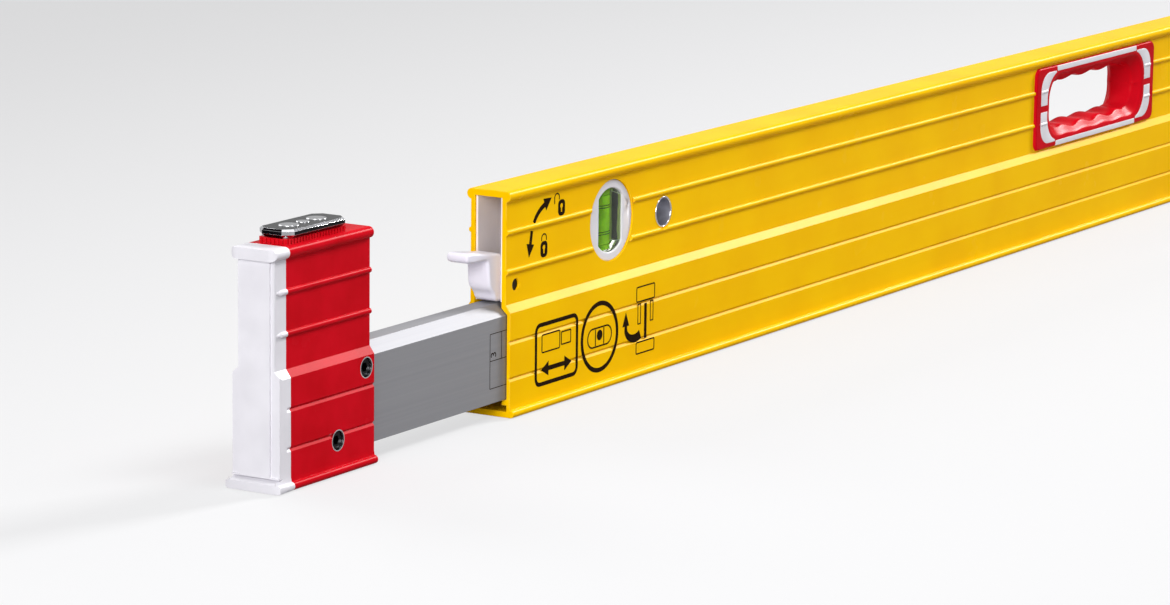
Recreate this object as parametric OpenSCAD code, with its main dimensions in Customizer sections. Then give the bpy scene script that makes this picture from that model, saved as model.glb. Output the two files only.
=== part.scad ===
// Extendable plate level: a hollow aluminium body, a bar that slides out of one end and is clamped by a
// cam lever, an end cap with a pull-up stand-off on each end, vials, a hanging eye and two hand holes.
// Millimetres, +Z up, long axis X, the bar comes out towards -X and the marked side faces -Y.
// The origin is at the middle of the ground plan, on the measuring face.

/* [Body section] */
// Height from measuring face to measuring face
profile_h = 108; // [100:0.5:120]
// Width of the upper half
upper_w = 19.8; // [19:0.1:23]
// Width of the lower half
lower_w = 24.9; // [24:0.1:28]
// Width of the top flange
top_flange_w = 24.3; // [22:0.1:28]
// Thickness of the top flange at its rounded edges
top_flange_t = 5.2; // [4.4:0.1:6]
// Width of the bottom flange
bottom_flange_w = 29.5; // [28:0.1:34]
// Thickness of the bottom flange at its rounded edges
bottom_flange_t = 3.8; // [3:0.1:5]
// Height of the small slope above the bottom flange
foot_slope = 2.2; // [1:0.1:3]
// Level where the slope between the halves begins
step_z = 50.3; // [49.5:0.1:51]
// Height of that slope
step_rise = 3.5; // [2.6:0.1:4.2]
// Wall of the upper half
upper_wall = 2.4; // [2.1:0.1:2.6]
// Wall of the lower half
lower_wall = 1.8; // [1.5:0.1:2.2]
// Wall under the top measuring face
roof_t = 3.2; // [2.6:0.1:4]
// Wall above the bottom measuring face
floor_t = 2.9; // [2.2:0.1:3.6]
// Radius of the two raised ribs
rib_r = 1.35; // [1:0.05:1.8]
// How far the ribs stand out
rib_out = 1.15; // [0.6:0.05:1.3]
// Upper rib below the top flange
rib_drop_1 = 14.6; // [12:0.1:18]
// Lower rib below the top flange
rib_drop_2 = 33.3; // [28:0.1:36]
// Upper groove level
groove_z_1 = 36.2; // [30:0.1:42]
// Lower groove level
groove_z_2 = 18.5; // [14:0.1:26]
// Depth of the two grooves
groove_d = 0.8; // [0.4:0.05:1.1]
// Height of the two grooves
groove_h = 2.3; // [1.4:0.1:3]

/* [Lengths] */
// Length of the yellow body
profile_len = 1670; // [1500:10:2200]
// Bar seen between body and end cap in the photo
rest_gap = 113.9; // [40:0.1:400]
// Bar still seen when the level is pushed shut
closed_gap = 34; // [30:0.5:40]
// Bar left in the body when fully pulled out
open_overlap = 200; // [160:5:400]
// Free room behind the bar when shut
tail_room = 40; // [10:1:100]

/* [Extension bar] */
// Level of the underside of the bar
bar_low = 9; // [8:0.1:10]
// Level of the top of the bar
bar_top = 54.5; // [54:0.1:54.9]
// Width of each sloped top edge
bevel_w = 5.7; // [4:0.1:6.5]
// Height of each sloped top edge
bevel_h = 5.3; // [4:0.1:6]
// Wall of the bar
bar_wall = 2; // [1.6:0.1:2.6]
// Clearance of the bar in the body
slide_gap = 0.3; // [0.25:0.05:0.4]
// Width of the two ledges that carry the bar
ledge_w = 2.6; // [1.5:0.1:4]
// Height of the two ledges
ledge_h = 2.8; // [1.6:0.1:3.4]
// Length of the end plug in the bar
plug_in = 18; // [10:1:40]
// Thickness of the end plug's plate
plug_plate = 6; // [4:0.5:10]
// Rise of the plug's stop nose above the bar
nose_rise = 1.9; // [1.4:0.1:2]
// Length of the travel stop in the body
stop_len = 12; // [8:0.5:20]
// Length of bar stub that holds the far cap
tenon_len = 110; // [80:1:160]

/* [End caps] */
// Length of the red cap body
cap_len = 65.1; // [64:0.1:75]
// Length of the white cap face
face_len = 9.5; // [8:0.1:14]
// How far the flanges of the white face stand out
face_nose = 2.2; // [1:0.1:3]
// Depth of the bar in the cap
socket_len = 54; // [50:0.5:58]
// Clearance of the bar in the cap
socket_gap = 0.1; // [0.05:0.05:0.2]
// Height of the face's flat strip corners on the upper half
face_round = 2.1; // [1.2:0.1:2.6]
// Length over which the ribs run out on the white face
rib_taper = 3; // [1:0.1:5]
// Radius of the pegs that hold the white face
peg_r = 3; // [2:0.1:4]
// Length of those pegs
peg_len = 8; // [5:0.5:9]
// Distance of the upper screw from the cap's inner end
screw_x_1 = 6.2; // [5.5:0.1:9]
// Level of the upper screw
screw_z_1 = 44.9; // [42:0.1:45]
// Distance of the lower screw from the cap's inner end
screw_x_2 = 28.5; // [20:0.1:36]
// Level of the lower screw
screw_z_2 = 15.6; // [15.5:0.1:22]
// Radius of the screw recess, lined by a steel ring
recess_r = 4.9; // [4.8:0.05:5.2]
// Wall of the steel ring
ring_t = 0.45; // [0.3:0.05:0.6]
// Screw head radius
head_r = 4.2; // [3.8:0.05:4.25]
// Screw head height
head_h = 3; // [2.4:0.1:3.4]
// Screw shank radius
shank_r = 2.4; // [2:0.05:2.6]
// Screw shank length
shank_len = 11; // [8:0.5:14]
// Width of the hexagon socket across its corners
hex_d = 4.6; // [3.6:0.1:5]

/* [Stand-offs] */
// Distance of the stand-off's middle from the cap's inner end
standoff_x = 38.2; // [38.1:0.1:38.4]
// Length of the stand-off plate
plate_len = 47; // [46:0.1:48]
// Width of the stand-off plate
plate_w = 18.6; // [17:0.1:20]
// Thickness of the stand-off plate
plate_t = 4; // [3.2:0.1:5]
// Cut corners of the plate
plate_corner = 4; // [2:0.1:5]
// Slope round the plate's underside
plate_under = 1.5; // [0.8:0.1:2]
// Bevel round the plate's top
plate_bevel = 0.9; // [0.5:0.1:1.4]
// Height of the raised seat under the plate
seat_rise = 2.5; // [1.5:0.1:4]
// Distance of each leg from the plate's end
leg_inset = 1.6; // [1.5:0.1:2]
// Thickness of the legs
leg_t = 3; // [2.4:0.1:3.3]
// Length of the legs
leg_len = 34; // [28:0.5:38]
// Width of legs and guide block
leg_w = 13; // [11:0.1:13.2]
// Half length of the guide block's head
block_half = 15.3; // [15.1:0.1:16]
// Half length of the guide block's stem
stem_half = 11; // [8:0.1:13]
// Half length of the guide block's foot
foot_half = 17.4; // [17:0.1:18.2]
// Height of the guide block's head
block_head_h = 8; // [6:0.5:9]
// Height of the guide block's foot
block_foot_h = 3.5; // [2.5:0.1:5]
// Depth of the guide plate in the cap
guide_depth = 10; // [8:0.5:12]
// Wall of the cap beside the stand-off
well_wall = 2.2; // [2:0.1:2.4]
// Running clearance of legs and block
guide_gap = 0.15; // [0.1:0.05:0.25]
// Radius of the three contact studs
stud_r = 4.6; // [3.5:0.1:5]
// Radius of the middle stud
stud_mid_r = 3; // [2.6:0.1:4]
// Distance between the studs
stud_pitch = 10.6; // [10.4:0.1:11]
// Depth of the stud heads in the plate
stud_sunk = 1.2; // [0.8:0.1:1.6]
// Radius of the stud shanks
stud_shank_r = 2; // [1.5:0.1:2.4]
// Length of the stud shanks
stud_shank_len = 8; // [6:0.5:10]

/* [Clamp lever] */
// Lever pivot from the body's end
pivot_x = 8.6; // [8.2:0.1:9.4]
// Reach of the lever beyond the body's end
lever_reach = 27; // [24:0.5:29]
// How far the lever's body stands out
lever_out = 8.1; // [6.5:0.1:9]
// Thickness of the lever's tab
tab_t = 5.4; // [4.4:0.1:6.4]
// Level of the tab above the pivot
tab_rise = 16.4; // [15:0.1:18]
// Radius of the cam at its high spot
cam_r = 7.8; // [7.4:0.05:8.2]
// Radius of the hub beside the high spot
hub_r = 7.1; // [6.4:0.05:7.2]
// Radius of the cam's nose
cam_nose_r = 3.6; // [3:0.1:4]
// Gap between cam and bar
cam_gap = 0.3; // [0.3:0.05:0.5]
// Radius of the pivot pin
pin_r = 3; // [2.6:0.05:3.4]
// Clearance of the lever on the pin
pin_gap = 0.05; // [0.03:0.01:0.08]
// How far the pin ends lie below the surface
pin_sunk = 1; // [0.5:0.1:1.6]
// Side clearance of the lever
lever_gap = 0.3; // [0.25:0.05:0.5]
// Wall of the lever housing
housing_wall = 1; // [0.8:0.1:1.4]
// Length of the lever housing
housing_len = 56; // [48:0.5:64]
// Clearance of parts set in the body
set_gap = 0.1; // [0.05:0.05:0.15]

/* [Vials] */
// Plumb vial from the body's end
plumb_x = 95.8; // [85:0.1:105]
// Radius of the plumb vial housing
plumb_r = 20; // [19:0.1:21]
// Plumb housing below the top flange
plumb_drop = 1.8; // [1:0.1:2.6]
// Radius of the window's rounded ends
window_r = 15.8; // [15:0.1:16.4]
// Width of the window
window_w = 21.8; // [18:0.1:24]
// How far housings lie below the surface
housing_sunk = 0.7; // [0.3:0.1:1.2]
// Radius of the liquid's bore in the clear vial blocks
bore_r = 5.4; // [4.8:0.1:6]
// How far the vial blocks lie below their housing
block_sunk = 0.8; // [0.4:0.1:1.6]
// Length of the bore's plugs
bore_plug = 2.4; // [1.6:0.1:4]
// Air above the liquid in the plumb vials
plumb_air = 4; // [2:0.1:6]
// Half length of the level vial housing
level_half = 40; // [36:0.5:46]
// Radius of the level vial housing's ends
level_r = 15; // [14:0.1:16]
// Half length of the level vial's window
level_window = 27; // [22:0.5:30]
// Half height of the level vial's window
level_window_h = 9.5; // [8:0.1:11]
// Radius of the level vial's bubble
bubble_r = 3.4; // [2.4:0.1:3.8]
// Half length of the level vial's bubble
bubble_half = 6; // [4:0.1:8]

/* [Hand holes and hanging eye] */
// Hanging eye from the body's end
eye_x = 145.5; // [138:0.1:160]
// Outer radius of the eye
eye_r = 7.85; // [6.5:0.05:9]
// Wall of the eye
eye_wall = 0.9; // [0.6:0.05:1.4]
// Hand holes from the body's middle
grip_off = 191; // [150:1:260]
// Half length of the grip frame
grip_half = 80.5; // [80:0.5:84]
// Gap between grip frame and flanges
grip_margin = 0.8; // [0.5:0.1:1.4]
// Half length of the hand opening
open_half = 67; // [65:0.5:68]
// Width of the grip frame above and below the opening
grip_edge = 4.2; // [3.9:0.1:4.6]
// Room between the opening's end rounds
open_flat = 8; // [6:0.1:12]
// Wall of the grip tunnel
grip_wall = 1.7; // [1.5:0.1:1.9]
// Thickness of the grip frame on the surface
grip_lip = 1.7; // [1.4:0.1:2.2]
// Width of the red rim between inlays and opening
mouth_rim = 2.2; // [1.4:0.1:2.6]
// How far the finger rails stand into the opening
rail_in = 5.6; // [5:0.1:5.8]
// How far the way narrows at its two ends
rail_end = 4.5; // [4:0.1:5]
// Corner radius of the way
way_r = 6; // [5:0.1:7]
// Depth of the finger hollows
finger_d = 1.9; // [1.4:0.1:2.4]
// Distance between fingers
finger_pitch = 25; // [24:0.5:26]
// Width of a finger hollow
finger_w = 22; // [20:0.5:23]
// Width of the white inlays beside the opening
inlay_w = 6.6; // [4:0.1:8]
// Depth of the white inlays
inlay_d = 0.9; // [0.6:0.1:1.1]
// Gap in the middle of the end inlays
inlay_gap = 3.6; // [2.4:0.1:5]
// Half length of the long white inlays
inlay_half = 50; // [44:0.5:52]

/* [Hidden] */
$fn = 64;
eps = 0.01;

// where things lie along the level
cap_total = cap_len + face_len + face_nose;
total_len = 2 * cap_total + rest_gap + profile_len;
body_x = cap_total + rest_gap - total_len / 2;
body_end = body_x + profile_len;
mid_x = body_x + profile_len / 2;
cap_x = body_x - rest_gap;
bar_inside = profile_len - tenon_len - tail_room - (rest_gap - closed_gap);
bar_len = socket_len + rest_gap + bar_inside;
travel = profile_len - tenon_len - tail_room - open_overlap;
stop_x = body_x + open_overlap - plug_plate - stop_len;

// the section
band_low = step_z + step_rise;
band_high = profile_h - top_flange_t;
band_mid = (band_low + band_high) / 2;
foot_half_w = bottom_flange_w / 2 - bottom_flange_t / 2;
rib_z = [band_high - rib_drop_1, band_high - rib_drop_2];
groove_z = [groove_z_1, groove_z_2];
in_up = upper_w / 2 - upper_wall;
in_low = lower_w / 2 - lower_wall;
bar_half = in_low - slide_gap;
bevel_z = bar_top - bevel_h;
bevel_l = sqrt(bevel_w * bevel_w + bevel_h * bevel_h);
bevel_ny = bevel_h / bevel_l;
bevel_nz = bevel_w / bevel_l;

// lever and housing
pivot_z = bar_top + cam_gap + cam_r;
housing_out = in_up - set_gap;
housing_in = housing_out - housing_wall;
housing_h = profile_h - roof_t - bar_top - 0.9;
lever_half = housing_in - lever_gap;

// vials and grips
plumb_z = band_high - plumb_drop - plumb_r;
plumb_bore = sqrt(window_r * window_r - bore_r * bore_r) - 0.3;
vial_half = window_r - set_gap / 2;
level_z = band_high - plumb_drop - level_r;
level_vial_half = level_window - set_gap / 2;
insert_half = upper_w / 2 - housing_sunk;
block_y = insert_half - block_sunk;
grip_hh = (band_high - band_low) / 2 - grip_margin;
grip_out = upper_w / 2 + grip_lip;
open_hh = grip_hh - grip_edge;
rail_hh = open_hh - rail_in;
way_half = open_half - rail_end;
open_r = open_hh - open_flat / 2;
finger_r = (finger_w * finger_w / 4 + finger_d * finger_d) / (2 * finger_d);

// caps and stand-offs
screw_seat = -bar_half + bar_wall + set_gap;
well_half = upper_w / 2 - well_wall;
well_x = plate_len / 2 + 0.2;
well_low = bar_top + 2;
seat_z = profile_h + seat_rise;
plate_z = seat_z + plate_t;
leg_out = plate_len / 2 - leg_inset;
leg_in = leg_out - leg_t;
block_low = well_low + 0.7;
pad_z = profile_h - guide_depth - 6;

module along_x(len)
  rotate([90, 0, 90])
    linear_extrude(len) children();

module across_y(half)
  rotate([90, 0, 0])
    linear_extrude(2 * half, center = true) children();

// a plan with rounded corners, drawn from squares and circles
module round_plan(hw, hh, r) {
  square([2 * hw - 2 * r, 2 * hh], center = true);
  square([2 * hw, 2 * hh - 2 * r], center = true);
  for (sx = [-1, 1], sy = [-1, 1])
    translate([sx * (hw - r), sy * (hh - r)]) circle(r);
}

// a plan with cut corners
module cut_plan(hw, hh, c)
  polygon([[-hw + c, -hh], [hw - c, -hh], [hw, -hh + c], [hw, hh - c],
    [hw - c, hh], [-hw + c, hh], [-hw, hh - c], [-hw, -hh + c]]);

// outer shape of body and caps, without the ribs: top flange, foot and the two halves between
module top_flange() {
  translate([-top_flange_w / 2 + top_flange_t / 2, band_high])
    square([top_flange_w - top_flange_t, top_flange_t]);
  for (s = [-1, 1])
    translate([s * (top_flange_w / 2 - top_flange_t / 2), band_high + top_flange_t / 2])
      circle(top_flange_t / 2);
}

module foot() {
  translate([-foot_half_w, 0]) square([2 * foot_half_w, bottom_flange_t]);
  for (s = [-1, 1])
    translate([s * foot_half_w, bottom_flange_t / 2]) circle(bottom_flange_t / 2);
  polygon([[-foot_half_w, bottom_flange_t - 0.5], [foot_half_w, bottom_flange_t - 0.5],
    [foot_half_w, bottom_flange_t], [lower_w / 2, bottom_flange_t + foot_slope],
    [-lower_w / 2, bottom_flange_t + foot_slope], [-foot_half_w, bottom_flange_t]]);
}

module slope()
  polygon([[-lower_w / 2, step_z - 1], [lower_w / 2, step_z - 1], [lower_w / 2, step_z],
    [upper_w / 2, band_low], [-upper_w / 2, band_low], [-lower_w / 2, step_z]]);

module plain_section() {
  top_flange();
  foot();
  slope();
  translate([-upper_w / 2, step_z]) square([upper_w, band_high - step_z + 1]);
  translate([-lower_w / 2, 1]) square([lower_w, step_z - 1]);
}

module grooves()
  for (z = groove_z, s = [-1, 1])
    translate([s * lower_w / 2, z])
      polygon([[groove_d, 0], [0, groove_h / 2], [-groove_d, 0], [0, -groove_h / 2]]);

module ribs()
  for (z = rib_z, s = [-1, 1])
    translate([s * (upper_w / 2 + rib_out - rib_r), z]) circle(rib_r);

module section() {
  difference() {
    plain_section();
    grooves();
  }
  ribs();
}

// the bar's outline, grown evenly by g
module bar_plan(g) {
  side = bar_half + g;
  side_z = bevel_z + g * bevel_nz / (1 + bevel_ny);
  flat = bar_half - bevel_w + g * bevel_ny / (1 + bevel_nz);
  polygon([[-side, bar_low - g], [side, bar_low - g], [side, side_z], [flat, bar_top + g],
    [-flat, bar_top + g], [-side, side_z]]);
}

// the hollow of the body: the bar's room with two ledges below, and the upper room
module body_hollow() {
  difference() {
    union() {
      bar_plan(slide_gap);
      translate([-in_low, floor_t]) square([2 * in_low, bar_low - floor_t + 1]);
    }
    for (s = [-1, 1])
      translate([s * (in_low - ledge_w / 2 + 0.5), bar_low - slide_gap - ledge_h / 2])
        square([ledge_w + 1, ledge_h], center = true);
  }
  translate([-in_up, bevel_z]) square([2 * in_up, profile_h - roof_t - bevel_z]);
}

module plumb_round(x, r, half)
  translate([x, 0, plumb_z]) rotate([90, 0, 0]) cylinder(r = r, h = 2 * half, center = true);

module level_plan(g) {
  square([2 * (level_half - level_r), 2 * level_r + 2 * g], center = true);
  for (s = [-1, 1]) translate([s * (level_half - level_r), 0]) circle(level_r + g);
}

module body_cuts() {
  for (x = [body_x + plumb_x, body_end - plumb_x]) {
    plumb_round(x, plumb_r + set_gap, upper_w);
    for (s = [-1, 1])
      translate([x, s * (upper_w / 2 + 2), plumb_z]) rotate([90, 0, 0])
        cylinder(r = plumb_r + 1.4, h = 4, center = true);
  }
  translate([mid_x, 0, level_z]) across_y(upper_w) level_plan(set_gap);
  for (s = [-1, 1])
    translate([mid_x, s * (upper_w / 2 + 2), level_z]) across_y(2) level_plan(1.4);
  for (x = [mid_x - grip_off, mid_x + grip_off]) {
    translate([x, 0, band_mid]) across_y(upper_w)
      round_plan(open_half + grip_wall + set_gap, open_hh + grip_wall + set_gap, open_r + grip_wall);
    for (s = [-1, 1])
      translate([x, s * (upper_w / 2 + 2), band_mid]) across_y(2)
        square([2 * grip_half + 0.6, 2 * grip_hh + 0.2], center = true);
  }
  translate([body_x + eye_x, 0, band_mid]) rotate([90, 0, 0])
    cylinder(r = eye_r + set_gap / 2, h = 2 * upper_w, center = true);
  for (s = [-1, 1])
    translate([body_x + eye_x, s * (upper_w / 2 + 2), band_mid]) rotate([90, 0, 0])
      cylinder(r = eye_r + 1, h = 4, center = true);
  translate([body_x + pivot_x, 0, pivot_z]) rotate([90, 0, 0])
    cylinder(r = pin_r + pin_gap / 2, h = 2 * upper_w, center = true);
}

module main_profile()
  color("gold") difference() {
    translate([body_x, 0, 0]) along_x(profile_len) difference() {
      section();
      body_hollow();
    }
    body_cuts();
  }

module lock_housing()
  color("white") translate([body_x, 0, bar_top + 0.6]) difference() {
    union() {
      for (s = [-1, 1])
        translate([1, s * (housing_in + housing_wall / 2) - housing_wall / 2, 0])
          cube([housing_len - 1, housing_wall, housing_h]);
      translate([housing_len - 1.6, -housing_out, 0]) cube([1.6, 2 * housing_out, housing_h]);
      translate([pivot_x + cam_r + 6, -housing_out, 0])
        cube([housing_len - pivot_x - cam_r - 6, 2 * housing_out, 1.4]);
    }
    translate([pivot_x, 0, pivot_z - bar_top - 0.6]) rotate([90, 0, 0])
      cylinder(r = pin_r + pin_gap, h = 2 * upper_w, center = true);
  }

module lever_pin()
  color("dimgray") translate([body_x + pivot_x, 0, pivot_z]) rotate([90, 0, 0])
    cylinder(r = pin_r, h = upper_w - 2 * pin_sunk, center = true);

// side view of the lever about its pivot: hub, cam nose, body and the tab that sticks out
module lever_plan() {
  tip = [-(pivot_x + lever_reach - tab_t / 2), tab_rise];
  back = -(pivot_x + lever_out);
  nose = [-cam_r + 0.2, cam_nose_r - cam_r];
  circle(hub_r);
  translate(nose) circle(cam_nose_r);
  translate(tip) circle(tab_t / 2);
  polygon([[tip[0], tip[1] - tab_t / 2], [back - 1.6, tip[1] - tab_t / 2], [back, tip[1] - tab_t / 2 - 1.8],
    [back + 0.4, 3.6], [nose[0] - cam_nose_r * 0.8, nose[1] + cam_nose_r * 0.6],
    [nose[0], nose[1] - cam_nose_r], [0, -hub_r], [hub_r, 0], [hub_r - 1.6, 8], [-3.6, tip[1] - 1.4],
    [-9, tip[1] - 0.5], [tip[0], tip[1] + tab_t / 2]]);
}

module lock_lever()
  color("ghostwhite") translate([body_x + pivot_x, 0, pivot_z]) difference() {
    across_y(lever_half) lever_plan();
    rotate([90, 0, 0]) cylinder(r = pin_r + pin_gap, h = 2 * upper_w, center = true);
  }

module travel_stop()
  color("dimgray") translate([stop_x, -in_up + set_gap, bar_top + 0.4])
    cube([stop_len, 2 * in_up - 2 * set_gap, profile_h - roof_t - bar_top - 0.4 - set_gap]);

module hanging_eye()
  color("silver") translate([body_x + eye_x, 0, band_mid]) rotate([90, 0, 0]) difference() {
    cylinder(r = eye_r, h = upper_w + 0.6, center = true);
    cylinder(r = eye_r - eye_wall, h = 2 * upper_w, center = true);
  }

// upright vial: round housing, clear block with a bore, two plugs, liquid with air above
module plumb_window(g)
  intersection() {
    circle(window_r + g);
    square([window_w + 2 * g, 2 * plumb_r], center = true);
  }

module plumb_housing(x)
  color("white") difference() {
    plumb_round(x, plumb_r, insert_half);
    translate([x, 0, plumb_z]) across_y(upper_w) plumb_window(0);
  }

module plumb_vial(x)
  color("honeydew") translate([x, 0, plumb_z]) difference() {
    across_y(block_y) plumb_window(-set_gap / 2);
    cylinder(r = bore_r, h = 2 * plumb_r, center = true);
  }

module plumb_plugs(x)
  color("yellowgreen") for (s = [0, 1])
    translate([x, 0, plumb_z + (s == 0 ? -plumb_bore : plumb_bore - bore_plug)])
      cylinder(r = bore_r - eps, h = bore_plug);

module plumb_liquid(x)
  color("yellowgreen") translate([x, 0, plumb_z - plumb_bore + bore_plug + eps])
    cylinder(r = bore_r - eps, h = 2 * plumb_bore - 2 * bore_plug - plumb_air);

module left_plumb_housing() plumb_housing(body_x + plumb_x);
module left_plumb_vial() plumb_vial(body_x + plumb_x);
module left_plumb_plugs() plumb_plugs(body_x + plumb_x);
module left_plumb_liquid() plumb_liquid(body_x + plumb_x);
module right_plumb_housing() plumb_housing(body_end - plumb_x);
module right_plumb_vial() plumb_vial(body_end - plumb_x);
module right_plumb_plugs() plumb_plugs(body_end - plumb_x);
module right_plumb_liquid() plumb_liquid(body_end - plumb_x);

// lying vial in the middle
module level_housing()
  color("white") translate([mid_x, 0, level_z]) difference() {
    across_y(insert_half) level_plan(0);
    across_y(upper_w) round_plan(level_window, level_window_h, 3);
  }

module level_vial()
  color("honeydew") translate([mid_x, 0, level_z]) difference() {
    across_y(block_y) round_plan(level_vial_half, level_window_h - set_gap / 2, 3);
    rotate([0, 90, 0]) cylinder(r = bore_r, h = 3 * level_half, center = true);
  }

module level_plugs()
  color("yellowgreen") for (s = [0, 1])
    translate([mid_x + (s == 0 ? -level_vial_half : level_vial_half - bore_plug), 0, level_z])
      rotate([0, 90, 0]) cylinder(r = bore_r - eps, h = bore_plug);

module level_liquid()
  color("yellowgreen") translate([mid_x, 0, level_z]) difference() {
    rotate([0, 90, 0])
      cylinder(r = bore_r - eps, h = 2 * level_vial_half - 2 * bore_plug - 2 * eps, center = true);
    translate([0, 0, bore_r - bubble_r + 0.6]) rotate([0, 90, 0])
      cylinder(r = bubble_r, h = 2 * bubble_half, center = true);
    for (s = [-1, 1]) translate([s * bubble_half, 0, bore_r - bubble_r + 0.6]) sphere(bubble_r);
  }

// hand hole: the plain mouth, the narrower way with finger hollows, and the white inlays
module finger_way() {
  square([2 * (way_half - way_r), 2 * rail_hh], center = true);
  square([2 * way_half, 2 * (rail_hh - way_r)], center = true);
  for (sx = [-1, 1], sy = [-1, 1])
    translate([sx * (way_half - way_r), sy * (rail_hh - way_r)]) circle(way_r);
  for (i = [-1 : 1], sy = [-1, 1]) translate([i * finger_pitch, 0]) intersection() {
    translate([0, sy * (rail_hh + finger_d - finger_r)]) circle(finger_r);
    translate([0, sy * rail_hh]) square([2 * finger_w, 2 * rail_hh], center = true);
  }
}

module inlay_plan(g) {
  strip = grip_hh - open_hh - 2;
  for (s = [-1, 1])
    translate([0, s * (grip_hh - 0.7 - strip / 2)])
      square([2 * inlay_half + 2 * g, strip + 2 * g], center = true);
  difference() {
    round_plan(open_half + 1 + inlay_w + g, open_hh + 1 + g, open_r + 1.8 + g);
    round_plan(open_half + 1 - g, open_hh + 0.3 - g, open_r + 0.2 - g);
    square([2 * inlay_half + 3 - 2 * g, 4 * open_hh], center = true);
    square([4 * open_half, inlay_gap - 2 * g], center = true);
  }
}

module grip(x)
  color("firebrick") translate([x, 0, band_mid]) difference() {
    union() {
      across_y(upper_w / 2 + eps)
        round_plan(open_half + grip_wall, open_hh + grip_wall, open_r + grip_wall - set_gap);
      for (s = [-1, 1]) translate([0, s * (upper_w / 2 + grip_lip / 2), 0]) across_y(grip_lip / 2)
        round_plan(grip_half, grip_hh, 4);
    }
    across_y(upper_w) finger_way();
    for (s = [-1, 1]) translate([0, s * (upper_w / 2 + 1 + grip_lip - 3.2), 0]) across_y(3 + eps)
      round_plan(open_half - mouth_rim, open_hh - mouth_rim, open_r - mouth_rim);
    for (s = [-1, 1]) translate([0, s * (grip_out + 1 - inlay_d), 0]) across_y(1) inlay_plan(0.05);
  }

module grip_inlays(x)
  color("white") for (s = [-1, 1])
    translate([x, s * (grip_out - inlay_d / 2), band_mid]) across_y(inlay_d / 2) inlay_plan(0);

module left_grip() grip(mid_x - grip_off);
module left_grip_inlays() grip_inlays(mid_x - grip_off);
module right_grip() grip(mid_x + grip_off);
module right_grip_inlays() grip_inlays(mid_x + grip_off);

// a hollow length of the bar section, from x for len
module bar_piece(x, len)
  translate([x, 0, 0]) along_x(len) difference() {
    bar_plan(0);
    bar_plan(-bar_wall);
  }

module on_cap_screws(y)
  for (p = [[screw_x_1, screw_z_1], [screw_x_2, screw_z_2]])
    translate([-p[0], y, p[1]]) rotate([90, 0, 0]) children();

module extension_bar()
  color("silver") difference() {
    bar_piece(cap_x - socket_len, bar_len - plug_plate);
    translate([cap_x, 0, 0]) on_cap_screws(0) cylinder(r = recess_r - ring_t, h = lower_w);
  }

module bar_end_plug()
  color("dimgray") translate([cap_x - socket_len + bar_len - plug_plate, 0, 0]) {
    along_x(plug_plate) bar_plan(0);
    translate([-plug_in, 0, 0]) along_x(plug_in + eps) bar_plan(-bar_wall - set_gap);
    translate([0, -in_up + 2, bar_top - eps]) cube([plug_plate, 2 * in_up - 4, nose_rise]);
  }

// threaded block inside the bar, at the cap's two screws
module screw_block()
  difference() {
    translate([2 - socket_len, 0, 0]) along_x(socket_len - 3) bar_plan(-bar_wall - set_gap);
    on_cap_screws(screw_seat + shank_len + 1) cylinder(r = shank_r + 0.1, h = shank_len + lower_w);
  }

module bar_screw_block()
  color("gray") translate([cap_x, 0, 0]) screw_block();

// one cap, drawn with its inner end at x = 0 and its white face towards -X
module cap_body() {
  ring_hole = recess_r + 0.02;
  difference() {
    translate([-cap_len, 0, 0]) along_x(cap_len) section();
    translate([-socket_len - socket_gap, 0, 0]) along_x(socket_len + 1) bar_plan(socket_gap);
    translate([-standoff_x - well_x, -well_half, well_low])
      cube([2 * well_x, 2 * well_half, profile_h - well_low + 1]);
    on_cap_screws(-bar_half + 1) cylinder(r = ring_hole, h = lower_w);
    for (s = [-1, 1])
      translate([-standoff_x, s * (well_half + 0.25), pad_z + 2.5]) cube([12.1, 0.6, 5.1], center = true);
    for (z = [groove_z_1 - 2, groove_z_2 + 1.5])
      translate([-cap_len - 1, 0, z]) rotate([0, 90, 0]) cylinder(r = peg_r + 0.05, h = peg_len + 1.2);
  }
}

// plan of the white face: its flat strip is as wide on the lower half as on the upper one
module face_plan(half, r, out) {
  len = face_len + out;
  translate([-len + r, -half]) square([len - r, 2 * half]);
  translate([-len, -half + r]) square([len, 2 * half - 2 * r]);
  for (s = [-1, 1]) translate([-len + r, s * (half - r)]) circle(r);
}

module cap_face() {
  low_round = (lower_w - upper_w) / 2 + face_round;
  translate([-cap_len, 0, 0]) {
    translate([0, 0, band_low - 0.5]) linear_extrude(band_high - band_low + 1)
      face_plan(upper_w / 2, face_round, 0);
    intersection() {
      difference() {
        translate([-face_len - 5, 0, 0]) along_x(face_len + 5) {
          slope();
          translate([-lower_w / 2, 1]) square([lower_w, step_z - 1]);
        }
        translate([-rib_taper, 0, 0]) along_x(rib_taper + 1) grooves();
      }
      linear_extrude(band_low + 1) face_plan(lower_w / 2 + 0.2, low_round, 0);
    }
    intersection() {
      translate([-face_len - 5, 0, 0]) along_x(face_len + 5) top_flange();
      translate([0, 0, band_high - 1]) linear_extrude(top_flange_t + 2)
        face_plan(top_flange_w / 2 + 1, top_flange_t, face_nose);
    }
    intersection() {
      translate([-face_len - 5, 0, 0]) along_x(face_len + 5) foot();
      translate([0, 0, -1]) linear_extrude(bottom_flange_t + foot_slope + 2)
        face_plan(bottom_flange_w / 2 + 1, bottom_flange_t + 1, face_nose);
    }
    for (z = rib_z, s = [-1, 1])
      translate([-face_len + face_round + 0.2, s * (upper_w / 2 + rib_out - rib_r), z]) rotate([0, 90, 0]) {
        cylinder(r1 = 0.3, r2 = rib_r, h = rib_taper);
        translate([0, 0, rib_taper - eps])
          cylinder(r = rib_r, h = face_len - face_round - 0.2 - rib_taper + eps);
      }
    for (z = [groove_z_1 - 2, groove_z_2 + 1.5])
      translate([-1, 0, z]) rotate([0, 90, 0]) cylinder(r = peg_r, h = peg_len + 1);
  }
}

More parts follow.
